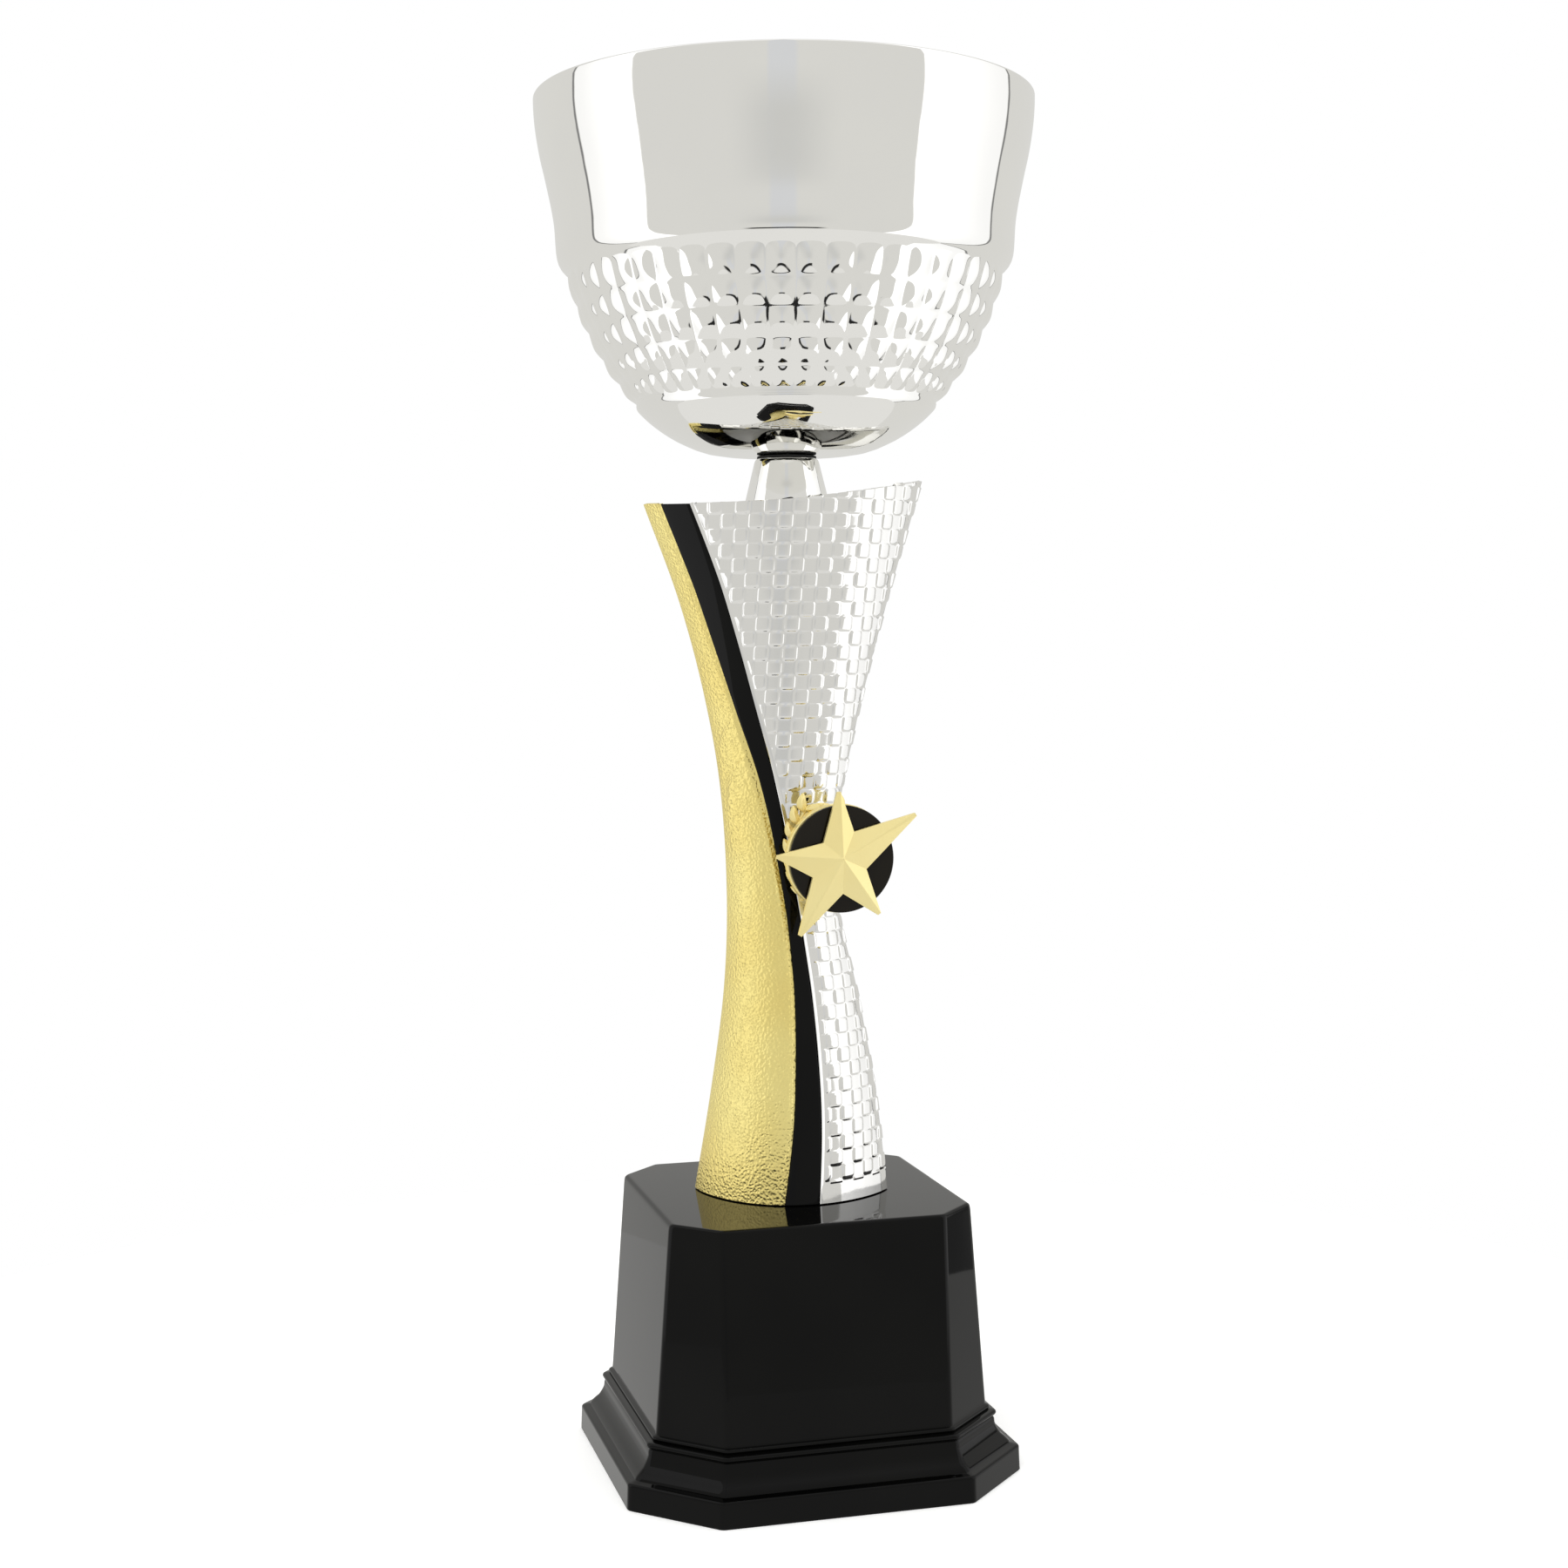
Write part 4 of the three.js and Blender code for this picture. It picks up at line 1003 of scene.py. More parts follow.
    def silver(self) -> bpy.types.Object:
        """Tiled side, from the front band round the right to the back band.

        Returns:
            The object.
        """
        top = self.base_top + self.height + self.over
        foot = np.array([self.low, self.low + 0.2, 67, 68.4, 69.4, 69.8, 70.0, 70.15, 70.35, 70.7])
        rows = self.tile_lines(self.row_start, self.row, 70.9, top)
        border = np.array([0.08, 0.2, 0.33, 0.5, 0.75, 1.0, 1.15, 1.4])
        lines = self.tile_lines(0, self.tile, -45, 60)
        off = np.concatenate([border, 0 * lines])
        place = np.concatenate([0 * border, lines])

        def runs(z: np.ndarray) -> np.ndarray:
            """Distance round at each height: fixed from the band in the border, and with the tiles after it.

            Args:
                z: Heights, by row and column.

            Returns:
                The distances, in the same shape.
            """
            edge = self.edge_run(self.silver_edge, z)
            side = self.run_at(np.full_like(z, math.pi / 2), z)
            free = np.clip(place + self.tile_start(z), edge + border[-1], side)
            return np.where(off > 0, edge + off, free)

        heights = np.concatenate([foot, rows])
        front = self.lay(heights, len(off), runs, self.silver_relief)
        sheet = Stock.loft("silver_sheet", self.both_halves(front, True), around=False)
        sheet = Stock.turn_in(Stock.tidy(sheet, closed=False), self.sheet_edge)
        core = self.panel("silver_core", self.silver_angle, lambda z: math.pi - self.silver_angle(z))
        return Stock.shade(Stock.join("column_tiled_side", [sheet, core]), math.radians(38))

    def blade_relief(self, run: np.ndarray, z: np.ndarray) -> np.ndarray:
        """Height of the two flame blades that lie over each other on the wing.

        Args:
            run: Distances round from the front centre.
            z: Heights.

        Returns:
            Heights of the relief, in the same shape.
        """
        total = np.zeros_like(run)
        for blade in BLADES:
            outer, inner = Curve(blade.outer)(z), Curve(blade.inner)(z)
            rise = np.clip((run - outer) / np.maximum(inner - outer, 0.3), 0, 1)
            held = ease((z - blade.fade_end) / (blade.fade_start - blade.fade_end))
            total += self.blade_rise * rise * held * (z < blade.tip)
        return total

    def gold_relief(self, run: np.ndarray, z: np.ndarray) -> np.ndarray:
        """Relief of the gold wing: sloping border along the band, and the blades.

        Args:
            run: Distances round from the front centre.
            z: Heights.

        Returns:
            Heights of the relief, in the same shape.
        """
        off = self.edge_run(self.gold_edge, z) - run
        ridge = 0.14 * np.exp(-((off - 1.1) / 0.3) ** 2)
        slope = -0.3 * (1 - ease(off / 1.0))
        blades = self.blade_relief(run, z) * ease((off - 0.7) / 0.9)
        return ridge + slope + blades

    def gold(self) -> bpy.types.Object:
        """Gold wing, from the front band round the left to the back band.

        Returns:
            The object.
        """
        top = self.base_top + self.height + self.over
        rows = np.concatenate([[self.low, self.low + 0.2], np.arange(66.4, 72, 0.4),
                               np.arange(72, 152, 0.9), np.arange(152, 184, 0.3), np.arange(184, top, 0.8)])
        near = np.array([0.08, 0.25, 0.45, 0.65, 0.85, 1.0, 1.12, 1.25, 1.4, 1.6, 1.9, 2.3])
        rest = np.linspace(0, 1, 84)[1:]
        off = np.concatenate([near, 0 * rest])
        share = np.concatenate([0 * near, rest])

        def runs(z: np.ndarray) -> np.ndarray:
            """Distance round at each height: fixed from the band in the border, and shared out after it.

            Args:
                z: Heights, by row and column.

            Returns:
                The distances, in the same shape.
            """
            edge = self.edge_run(self.gold_edge, z)
            side = self.run_at(np.full_like(z, -math.pi / 2), z)
            start = edge - near[-1]
            return np.where(off > 0, edge - off, start + (side - start) * share)

        front = self.lay(rows, len(off), runs, self.gold_relief)[:, ::-1]
        sheet = Stock.loft("gold_sheet", self.both_halves(front, False), around=False)
        sheet = Stock.turn_in(Stock.tidy(sheet, closed=False), self.sheet_edge)
        core = self.panel("gold_core", lambda z: -math.pi - self.gold_angle(z), self.gold_angle)
        return Stock.shade(Stock.join("column_gold_wing", [sheet, core]), math.radians(38))

    def upright(self, angle: Callable, inset: float, rings: int, top_drop: float = 0.0) -> np.ndarray:
        """Upright line of the column from foot to top edge.

        Args:
            angle: Gives the angle at a height.
            inset: How far inside the surface the line lies.
            rings: Number of spans.
            top_drop: How far under the top edge it ends.

        Returns:
            One point for each ring.
        """
        top = self.base_top + self.height
        for _ in range(self.settling):
            top = float(self.top_at(self.across(angle(np.array(top)), np.array(top)))) - top_drop
        z = np.linspace(self.low, top, rings + 1)
        return self.turned(self.point(angle(z), z, -inset * np.ones_like(z)))

    def panel(self, name: str, start: Callable, end: Callable) -> bpy.types.Object:
        """Closed wall just under a sheet, between two edges.

        Args:
            name: Name of the object.
            start: Angle of the first edge at a height.
            end: Angle of the last edge at a height.

        Returns:
            The object.
        """
        spans, rings = 36, 90

        def line(share: float, inset: float) -> np.ndarray:
            """Upright line at a share of the way across the panel."""
            def angle(z: np.ndarray) -> np.ndarray:
                """Angle of the line at a height."""
                trim = self.core_margin / self.length(z)
                return (start(z) + trim) * (1 - share) + (end(z) - trim) * share
            return self.upright(angle, inset, rings, self.core_drop)

        outer = [line(i / spans, self.core_inset) for i in range(spans + 1)]
        inner = [line(i / spans, self.wall) for i in range(spans, -1, -1)]
        lines = np.array(outer + inner)
        return Stock.tidy(Stock.loft(name, lines.transpose(1, 0, 2), caps=True))

    def band(self, name: str, start: Callable, end: Callable) -> bpy.types.Object:
        """Gloss black band with rounded edges and a wider lip behind its neighbours.

        Args:
            name: Name of the piece.
            start: Angle of its first edge at a height.
            end: Angle of its last edge at a height.

        Returns:
            The object.
        """
        lip_front = self.wall + self.gap
        lip_back = lip_front + self.flange_thickness
        half_gap, wide = self.gap / 2 - 0.08, self.flange_width

        def line(share: float, shift: float, inset: float) -> np.ndarray:
            """Upright line at a share of the way across the band, shifted round by a distance."""
            def angle(z: np.ndarray) -> np.ndarray:
                """Angle of the line at a height."""
                middle = start(z) * (1 - share) + end(z) * share
                return middle + shift / (self.length(z) * self.pace(middle, z))
            return self.upright(angle, inset, 130)

        crown, crown_spans, lip_spans = 0.04, 10, 6
        side = [(half_gap, lip_front), (half_gap, 0.18), (half_gap + 0.06, 0.06), (half_gap + 0.2, 0.0)]
        lines = [line(0, shift, inset) for shift, inset in side]
        lines += [line(i / crown_spans, 0, -crown) for i in range(1, crown_spans)]
        lines += [line(1, -shift, inset) for shift, inset in side[::-1]]
        lines += [line(1, wide, lip_front)]
        lines += [line(i / lip_spans, wide * (2 * i / lip_spans - 1), lip_back)
                  for i in range(lip_spans, -1, -1)]
        lines += [line(0, -wide, lip_front)]
        made = Stock.loft(name, np.array(lines).transpose(1, 0, 2), caps=True)
        return Stock.shade(Stock.tidy(made), math.radians(40))

    def build(self, bench: Bench) -> None:
        """Makes and dresses the column.

        Args:
            bench: Puts the pieces in the frame.
        """
        bench.show(self.silver(), SILVER, "silver_plating", "silver_column")
        bench.show(self.gold(), GOLD, "gold_plating", "gold_wing")
        front = self.band("band_front", self.gold_angle, self.silver_angle)
        bench.show(front, LACQUER, "band_gloss_black", "black_band_front")
        back = self.band("band_back", lambda z: math.pi - self.silver_angle(z),
                         lambda z: math.pi - self.gold_angle(z))
        bench.show(back, LACQUER, "band_gloss_black", "black_band_back")
        bench.keep(PLASTIC, "column_foot_plug")
        bench.keep(SEAT_PLASTIC, "column_top_seat")


@dataclass(frozen=True)
class Blade:
    """One flame blade on the wing: the foot and the top of its bevelled edge, by height."""

    outer: Points
    inner: Points
    tip: float
    fade_start: float
    fade_end: float


BLADES = (
    Blade(outer=((150, -16.9), (160, -17.2), (168, -17.8), (172.8, -18.07), (175.6, -18.01),
                 (178.3, -16.94), (181.0, -14.98), (182.8, -12.54), (183.9, -10.6)),
          inner=((150, -16.1), (160, -16.4), (168, -17.1), (172.3, -17.6), (174.8, -17.27), (177.0, -16.1),
                 (179.4, -14.22), (181.4, -12.19), (182.9, -10.3)),
          tip=183.6, fade_start=170, fade_end=152),
    Blade(outer=((140, -13.2), (150, -13.7), (159.2, -14.55), (163.4, -14.97), (166.2, -14.4),
                 (168.9, -13.27), (170.6, -11.58), (173.0, -9.46), (174.1, -8.1)),
          inner=((140, -12.6), (150, -13.1), (157.5, -14.0), (162.1, -13.54), (166.0, -12.75),
                 (169.5, -10.82), (172.3, -9.2), (173.3, -7.9), (174.3, -7.1)),
          tip=173.9, fade_start=160, fade_end=140),
)


# ---------------------------------------------------------------- stem, cup and rod


@dataclass
class Cup:
    """Chromed cup with five rows of pressed studs, its stem and its fastening."""

    low: float = 245.4
    wall: float = 1.0
    rim_radius: float = 60.0
    height: float = 84.6
    rod_hole: float = 3.3
    pan: Points = ((10, 0), (13, 0.05), (16.4, 0.25), (19.5, 0.75), (22.2, 1.6), (24.5, 2.6), (26.6, 3.6),
                   (28.5, 4.7), (30.2, 5.8), (31.7, 6.9), (33.2, 8.1), (34.4, 9.2), (35.3, 10.1),
                   (35.85, 10.7), (36.15, 11.2), (36.25, 11.8), (36.2, 12.35))
    grooves: Points = ((36.3, 12.7), (40.3, 17.5), (44.1, 23.2), (47.5, 29.65), (50.1, 35.9), (52.3, 43.3))
    shoulder: Points = ((52.5, 43.5), (53.3, 44.05), (54.0, 44.85), (54.5, 45.8), (54.82, 46.9),
                        (55.0, 48.2), (55.12, 50.0))
    wall_line: Points = ((55.12, 50.0), (55.4, 54.6), (56.0, 58.6), (56.8, 62.6), (57.65, 66.6),
                         (58.55, 70.6), (59.25, 74.6), (59.75, 78.6), (59.97, 82.0), (60.0, 84.1))
    studs: int = 48
    stud_turn: float = -5.05
    stud_rise: float = 0.78
    apex: float = -0.08
    stud_power: float = 1.6
    stud_steps: int = 12
    facets: int = 240
    stem_low: float = 220.3
    stem_top: float = 244.5
    stem_foot: float = 13.6
    stem_head: float = 7.6
    rod_low: float = 2.9
    rod_high: float = 256.1
    rod_radius: float = 2.9
    rod_tip: float = 2.3
    rod_facets: int = 24
    thread_length: float = 14.0
    thread_step: float = 0.16
    thread_depth: float = 0.5
    nut_mouth: float = 3.2
    nut_bevel: float = 0.55

    def outer(self) -> list[tuple[float, float]]:
        """Outside of the bowl under the studs, from the rod hole to the rim.

        Returns:
            Radius and height of each point.
        """
        heights = [p[1] for p in self.wall_line]
        line = Curve([(z, r) for r, z in self.wall_line])
        wall = [(float(line(z)), z) for z in steps(heights[0], heights[-1], 34)][1:]
        grooves = [(r - 0.35, z + 0.1) for r, z in self.grooves[1:-1]]
        return [(self.rod_hole, 0), *self.pan, *grooves, *self.shoulder, *wall]

    def body(self) -> bpy.types.Object:
        """Turned body of the bowl: outside, rolled rim and inside.

        Returns:
            The object.
        """
        outer = self.outer()
        rim = arc_points((self.rim_radius - 0.5, self.height - 0.5), 0.5, 20, 160, 7)
        inner = [(self.rod_hole, self.wall), (outer[1][0], self.wall)]
        for i in range(2, len(outer)):
            before, after = outer[i - 1], outer[min(i + 1, len(outer) - 1)]
            size = math.hypot(after[0] - before[0], after[1] - before[1])
            away = ((after[1] - before[1]) / size, (after[0] - before[0]) / size)
            inner.append((outer[i][0] - away[0] * self.wall, outer[i][1] + away[1] * self.wall))
        profile = [*outer, *rim, *inner[::-1]]
        return Stock.turned("cup_body", [(r, z + self.low) for r, z in profile], self.facets)

    def stud_sheet(self) -> bpy.types.Object:
        """Band of studs: each a soft four-sided cushion in its own cell.

        Returns:
            The object.
        """
        count = self.stud_steps
        turn = np.radians(self.stud_turn) + np.arange(self.studs * count) / count * TURN / self.studs
        across = (np.arange(self.studs * count) % count) / count * 2 - 1
        rings = []
        for (r0, z0), (r1, z1) in zip(self.grooves[:-1], self.grooves[1:]):
            size = math.hypot(r1 - r0, z1 - z0)
            out_r, out_z = (z1 - z0) / size, -(r1 - r0) / size
            for k in range(count if (r1, z1) != self.grooves[-1] else count + 1):
                share = k / count
                up = 2 * share - 1
                lean = (up - self.apex) / (1 - self.apex * np.sign(up - self.apex))
                rise = self.stud_rise * (1 - np.abs(across) ** self.stud_power) * (
                    1 - abs(lean) ** self.stud_power)
                r = r0 + (r1 - r0) * share + out_r * rise
                z = z0 + (z1 - z0) * share + out_z * rise + self.low
                rings.append(np.stack([r * np.sin(turn), -r * np.cos(turn), z], axis=-1))
        first, last = rings[0].copy(), rings[-1].copy()
        first[:, :2] *= 0.985
        last[:, :2] *= 0.99
        return Stock.tidy(Stock.loft("stud_sheet", np.array([first, *rings, last])), closed=False)

    def stem(self) -> bpy.types.Object:
        """Polished cone between column and cup.

        Returns:
            The object.
        """
        profile = [(self.stem_foot, self.stem_low), (self.stem_head + 0.25, self.stem_top - 0.8),
                   (self.stem_head, self.stem_top - 0.25), (self.stem_head - 0.3, self.stem_top),
                   (self.rod_hole, self.stem_top), (self.rod_hole, self.stem_top - 1.4),
                   (self.stem_head - 1.1, self.stem_top - 1.4), (self.stem_foot - 1.4, self.stem_low)]
        return Stock.shade(Stock.turned("stem_polished", profile, 96))

    def ring(self, name: str, outer: float, low: float, thick: float, edge: float) -> bpy.types.Object:
        """Flat ring about the rod with rounded edges.

        Args:
            name: Name of the piece.
            outer: Outer radius.
            low: Height of its underside.
            thick: Thickness.
            edge: Radius of its edges.

        Returns:
            The object.
        """
        under = arc_points((outer - edge, low + edge), edge, -90, 0, 4)
        over = arc_points((outer - edge, low + thick - edge), edge, 0, 90, 4)
        profile = [(self.rod_hole, low), *under, *over, (self.rod_hole, low + thick)]
        return Stock.shade(Stock.turned(name, profile, 72))

    def nut(self, name: str, low: float, flats: float, height: float) -> bpy.types.Object:
        """Six-sided nut with both faces chamfered round.

        Args:
            name: Name of the piece.
            low: Height of its underside.
            flats: Width across the flats.
            height: Height of the nut.

        Returns:
            The object.
        """
        count = 72
        turn = np.linspace(0, TURN, count, endpoint=False)
        hexagon = flats / 2 / np.cos((turn % (TURN / 6)) - TURN / 12)
        chamfer = flats / 2 * 0.96
        rings = []
        for radius, z in ((self.nut_mouth, low), (chamfer, low), (None, low + self.nut_bevel),
                          (None, low + height - self.nut_bevel), (chamfer, low + height),
                          (3.5, low + height), (3.0, low + height - 0.5), (3.0, low + 0.5)):
            reach = hexagon if radius is None else np.full(count, radius)
            sink = 0.0 if radius is not None else 0.5 * (reach - flats / 2)
            level = z + (sink if z < low + height / 2 else -np.asarray(sink))
            rings.append(np.stack([reach * np.cos(turn), reach * np.sin(turn), level + 0 * turn], axis=-1))
        return Stock.shade(Stock.tidy(Stock.loft(name, np.array(rings), stacked=True)), math.radians(25))

    def rod(self) -> bpy.types.Object:
        """Tie rod with its thread cut at both ends.

        Returns:
            The object.
        """
        turn = np.linspace(0, TURN, self.rod_facets, endpoint=False)
        low, high, thread, step = self.rod_low, self.rod_high, self.thread_length, self.thread_step
        heights = np.concatenate([np.arange(low, low + thread, step),
                                  np.linspace(low + thread, high - thread, 12),
                                  np.arange(high - thread + step, high, step), [high]])
        rings = [np.stack([0 * turn, 0 * turn, 0 * turn + low], axis=-1)]
        for z in heights:
            wave = np.abs((z - turn / TURN) % 1.0 - 0.5) * 2
            cut = self.thread_depth if z < low + thread or z > high - thread else 0.0
            end = min(z - low, high - z)
            radius = np.minimum(self.rod_radius - cut * (1 - wave), self.rod_tip + end)
            rings.append(np.stack([radius * np.cos(turn), radius * np.sin(turn), 0 * turn + z], axis=-1))
        rings.append(np.stack([0 * turn, 0 * turn, 0 * turn + high], axis=-1))
        return Stock.shade(Stock.tidy(Stock.loft("tie_rod_threaded", np.array(rings))))

    def build(self, bench: Bench) -> None:
        """Makes and dresses the stem, the cup and what holds them.

        Args:
            bench: Puts the pieces in the frame.
        """
        cup = Stock.join("cup_polished", [self.body(), self.stud_sheet()])
        bench.show(Stock.shade(cup, math.radians(42)), CHROME, "cup_chrome", "cup_bowl")
        bench.show(self.stem(), CHROME, "stem_chrome", "stem_cone")
        for name, sizes, finish, slot, node in (
                ("stem_ring", (7.2, 244.5, 0.7, 0.2), RUBBER, "gasket_rubber", "stem_gasket"),
                ("bowl_ring", (8.0, 246.7, 1.0, 0.25), RUBBER, "gasket_rubber", "bowl_seal"),
                ("washer_upper", (9.0, 248.0, 1.2, 0.25), STEEL, "steel_hardware", "bowl_washer")):
            bench.show(self.ring(name, *sizes), finish, slot, node)
        bench.show(self.nut("nut_upper", 249.5, 10.0, 5.0), STEEL, "steel_hardware", "bowl_nut")
        bench.show(self.rod(), STEEL, "steel_hardware", "tie_rod")


# ---------------------------------------------------------------- badge


@dataclass
class Badge:
    """Front badge: laurel wreath, holder, black disc and ridged star."""

    centre_x: float = 7.5
    centre_z: float = 148.7
    neck_x: float = 4.2
    disc_radius: float = 12.85
    disc_back: float = 18.8
    disc_front: float = 20.0
    holder_radius: float = 13.05
    holder_back: float = 15.2
    holder_front: float = 17.8
    neck_radius: float = 3.9
    star_back: float = 21.0
    star_edge: float = 0.9
    star_rise: float = 2.6
    star_peak: tuple[float, float] = (-0.95, 0.4)
    tips: Points = ((20.6, 30), (16.2, 94.5), (16.6, 176), (20.9, 238), (15.8, 303))
    notches: Points = ((7.0, 70), (6.6, 141), (8.8, 207), (8.1, 267), (5.9, 336))
    wreath_front: float = 14.1
    wreath_back: float = 12.6
    wreath_rise: float = 2.3
    wreath_width: float = 6.4
    wreath_height: float = 11.4
    wreath_open: float = 26.0
    leaves: int = 8
    leaf_length: float = 4.8
    leaf_width: float = 2.3
    leaf_lean: float = 34.0
    leaf_bend: float = 0.5
    leaf_crown: float = 0.75
    leaf_rib: float = 0.22
    stalk_depth: float = 13.3
    stalk_radius: float = 0.62
    tip_half: float = 0.42
    dot: Points = ((0, -0.6), (0.55, -0.45), (0.42, -0.12), (0.2, 0.04), (0, 0.08))

    @property
    def centre(self) -> tuple[float, float]:
        """Middle of the disc, as x and height."""
        return self.centre_x, self.centre_z

    @property
    def wreath_z(self) -> float:
        """Height of the middle of the wreath."""
        return self.centre_z + self.wreath_rise

    def disc(self) -> bpy.types.Object:
        """Black disc with a softened edge.

        Returns:
            The object.
        """
        back, front, radius = self.disc_back, self.disc_front, self.disc_radius
        profile = [(0, back), (radius - 0.2, back), (radius, back + 0.2),
                   *arc_points((radius - 0.35, front - 0.35), 0.35, 0, 90, 4), (0, front)]
        return Stock.shade(Stock.facing("disc_plate", profile, self.centre, 128))

    def holder(self) -> bpy.types.Object:
        """Gold holder behind the disc, with a fine raised rim, and its neck.

        Returns:
            The object.
        """
        back, front, radius = self.holder_back, self.holder_front, self.holder_radius
        puck = [(0, back), (radius - 0.8, back), *arc_points((radius - 0.5, back + 0.5), 0.5, -60, 0, 4),
                *arc_points((radius - 0.3, front - 0.1), 0.3, 0, 90, 4), (0, front + 0.2)]
        neck = [(0, 7.6), (self.neck_radius, 7.6), (self.neck_radius, back - 0.5),
                (self.neck_radius + 0.6, back), (0, back)]
        parts = [Stock.facing("puck", puck, self.centre, 128),
                 Stock.facing("neck", neck, (self.neck_x, self.centre_z), 48)]
        return Stock.shade(Stock.join("badge_holder", parts))

    def star(self) -> bpy.types.Object:
        """Five-armed star with flat facets, crisp ridges, blunt tips and a dot at its peak.

        Returns:
            The object.
        """
        outline: list[tuple[float, float]] = []
        for (radius, angle), notch in zip(self.tips, self.notches):
            for aside in (-1, 1):
                turn = math.radians(angle) + aside * self.tip_half / radius
                outline.append((radius * math.cos(turn), radius * math.sin(turn)))
            turn = math.radians(notch[1])
            outline.append((notch[0] * math.cos(turn), notch[0] * math.sin(turn)))
        count = len(outline)
        front = self.star_back + self.star_edge
        points = [(x, self.star_back, y) for x, y in outline] + [(x, front, y) for x, y in outline]
        peak_x, peak_z = self.star_peak
        points += [(peak_x, self.star_back, peak_z), (peak_x, front + self.star_rise, peak_z)]
        faces = []
        for k in range(count):
            after = (k + 1) % count
            faces.append((k, after, count + after, count + k))
            faces.append((count + k, count + after, 2 * count + 1))
            faces.append((after, k, 2 * count))
        place = np.array([(self.centre_x + x, -d, self.centre_z + y) for x, d, y in points])
        made = Stock.tidy(Stock.of("star_facets", place, faces))
        top = front + self.star_rise
        dot = Stock.facing("star_dot", [(radius, top + rise) for radius, rise in self.dot],
                           (self.centre_x + peak_x, self.centre_z + peak_z), 24)
        return Stock.shade(Stock.join("star_ridged", [made, dot]), math.radians(4))

    def leaf(self, name: str, angle: float, side: int, inner: bool) -> bpy.types.Object:
        """One pointed laurel leaf with a raised rib.

        Args:
            name: Name of the object.
            angle: Place along the branch, in radians from the wreath's foot.
            side: 1 for the right branch and -1 for the left one.
            inner: Whether the leaf leans inwards from the branch.

        Returns:
            The leaf.
        """
        def on_oval(a: float) -> Vector:
            """Point of the branch at an angle from the wreath's foot."""
            return Vector((self.neck_x + self.wreath_width * math.sin(side * a),
                           self.wreath_z - self.wreath_height * math.cos(a)))

        start = on_oval(angle)
        way = (on_oval(angle + 0.04) - start).normalized()
        sway = side * (1 if inner else -1)
        way.rotate(Matrix.Rotation(math.radians(self.leaf_lean * sway), 2))
        aside = Vector((-way.y, way.x))
        length, width = self.leaf_length, self.leaf_width
        middle = (self.wreath_front + self.wreath_back) / 2
        rows = []
        for share in steps(0, 1, 10):
            half = width / 2 * math.sin(math.pi * share ** 0.8) ** 0.75 + 0.06
            bend = self.leaf_bend * math.sin(math.pi * share)
            spine = start + way * length * share
            row = []
            for across in (-1, -0.6, -0.12, 0, 0.12, 0.6, 1):
                crown = self.leaf_crown * (1 - abs(across) ** 1.5)
                rise = crown * math.sin(math.pi * min(share + 0.08, 1)) ** 0.5
                rib = self.leaf_rib if across == 0 else 0
                here = spine + aside * (half * across + bend * sway)
                row.append((here.x, -(middle + rise + rib), here.y))
            for across in (1, 0, -1):
                here = spine + aside * (half * across + bend * sway)
                row.append((here.x, -(middle - 0.35), here.y))
            rows.append(row)
        return Stock.tidy(Stock.loft(name, np.array(rows), caps=True))

    def wreath(self) -> bpy.types.Object:
        """Laurel wreath: two branches of paired leaves on a round stalk, tied at the foot.

        Returns:
            The object.
        """
        parts = []
        end = math.pi - math.radians(self.wreath_open)
        for side in (1, -1):
            rows = []
            for angle in steps(-0.1, end, 40):
                x = self.neck_x + self.wreath_width * math.sin(side * angle)
                z = self.wreath_z - self.wreath_height * math.cos(angle)
                out = Vector((math.sin(side * angle) * self.wreath_height,
                              -math.cos(angle) * self.wreath_width)).normalized()
                thick = self.stalk_radius * (1 - 0.5 * max(angle, 0) / end)
                rows.append([(x + out.x * thick * math.cos(a), -(self.stalk_depth + thick * math.sin(a)),
                              z + out.y * thick * math.cos(a)) for a in steps(0, TURN, 10)[:-1]])
            parts.append(Stock.tidy(Stock.loft("stalk", np.array(rows), caps=True)))
            for i in range(self.leaves):
                angle = (end - 0.12) * (i + 0.5) / self.leaves
                for inner in (False, True):
                    parts.append(self.leaf("leaf", angle + (0.1 if inner else 0), side, inner))
        hub = [(self.neck_radius + 0.3, self.wreath_back), (self.neck_radius + 1.9, self.wreath_back),
               (self.neck_radius + 1.9, self.wreath_front - 0.2), (self.neck_radius + 1.7, self.wreath_front),
               (self.neck_radius + 0.3, self.wreath_front)]
        parts.append(Stock.facing("hub", hub, (self.neck_x, self.centre_z), 48))
        for side in (1, -1):
            near, far = self.neck_radius + 1.5, self.wreath_width
            corners = [(side * u, v) for u, v in ((near, -1.0), (far, -0.7), (far, 0.7), (near, 1.0))]
            rows = [[(self.neck_x + u, -d, self.centre_z + v) for u, v in corners]
                    for d in (self.wreath_back + 0.1, self.wreath_front - 0.1)]
            parts.append(Stock.tidy(Stock.loft("arm", np.array(rows), caps=True)))
        return Stock.shade(Stock.join("laurel_leaves", parts), math.radians(40))

    def build(self, bench: Bench) -> None:
        """Makes and dresses the badge.

        Args:
            bench: Puts the pieces in the frame.
        """
        bench.show(self.disc(), DISC_BLACK, "disc_black", "black_disc")
        bench.show(self.holder(), SATIN_GOLD, "badge_gold", "disc_holder")
        bench.show(self.star(), SATIN_GOLD, "star_gold", "star")
        bench.show(self.wreath(), SATIN_GOLD, "badge_gold", "laurel_wreath")
        bench.keep(FOAM, "disc_pad", "star_pad")
        bench.keep(STEEL, "holder_screw")


# ---------------------------------------------------------------- studio


def grey(value: float) -> tuple[float, float, float, float]:
    """Plain grey of a brightness."""
    return (value, value, value, 1)


@dataclass(frozen=True)
class Patch:
    """Part of the tent in another colour: low end, high end and softness, round and up, in degrees."""

    colour: tuple[float, float, float, float]
    round: tuple[float, float, float]
    up: tuple[float, float, float] | None = None


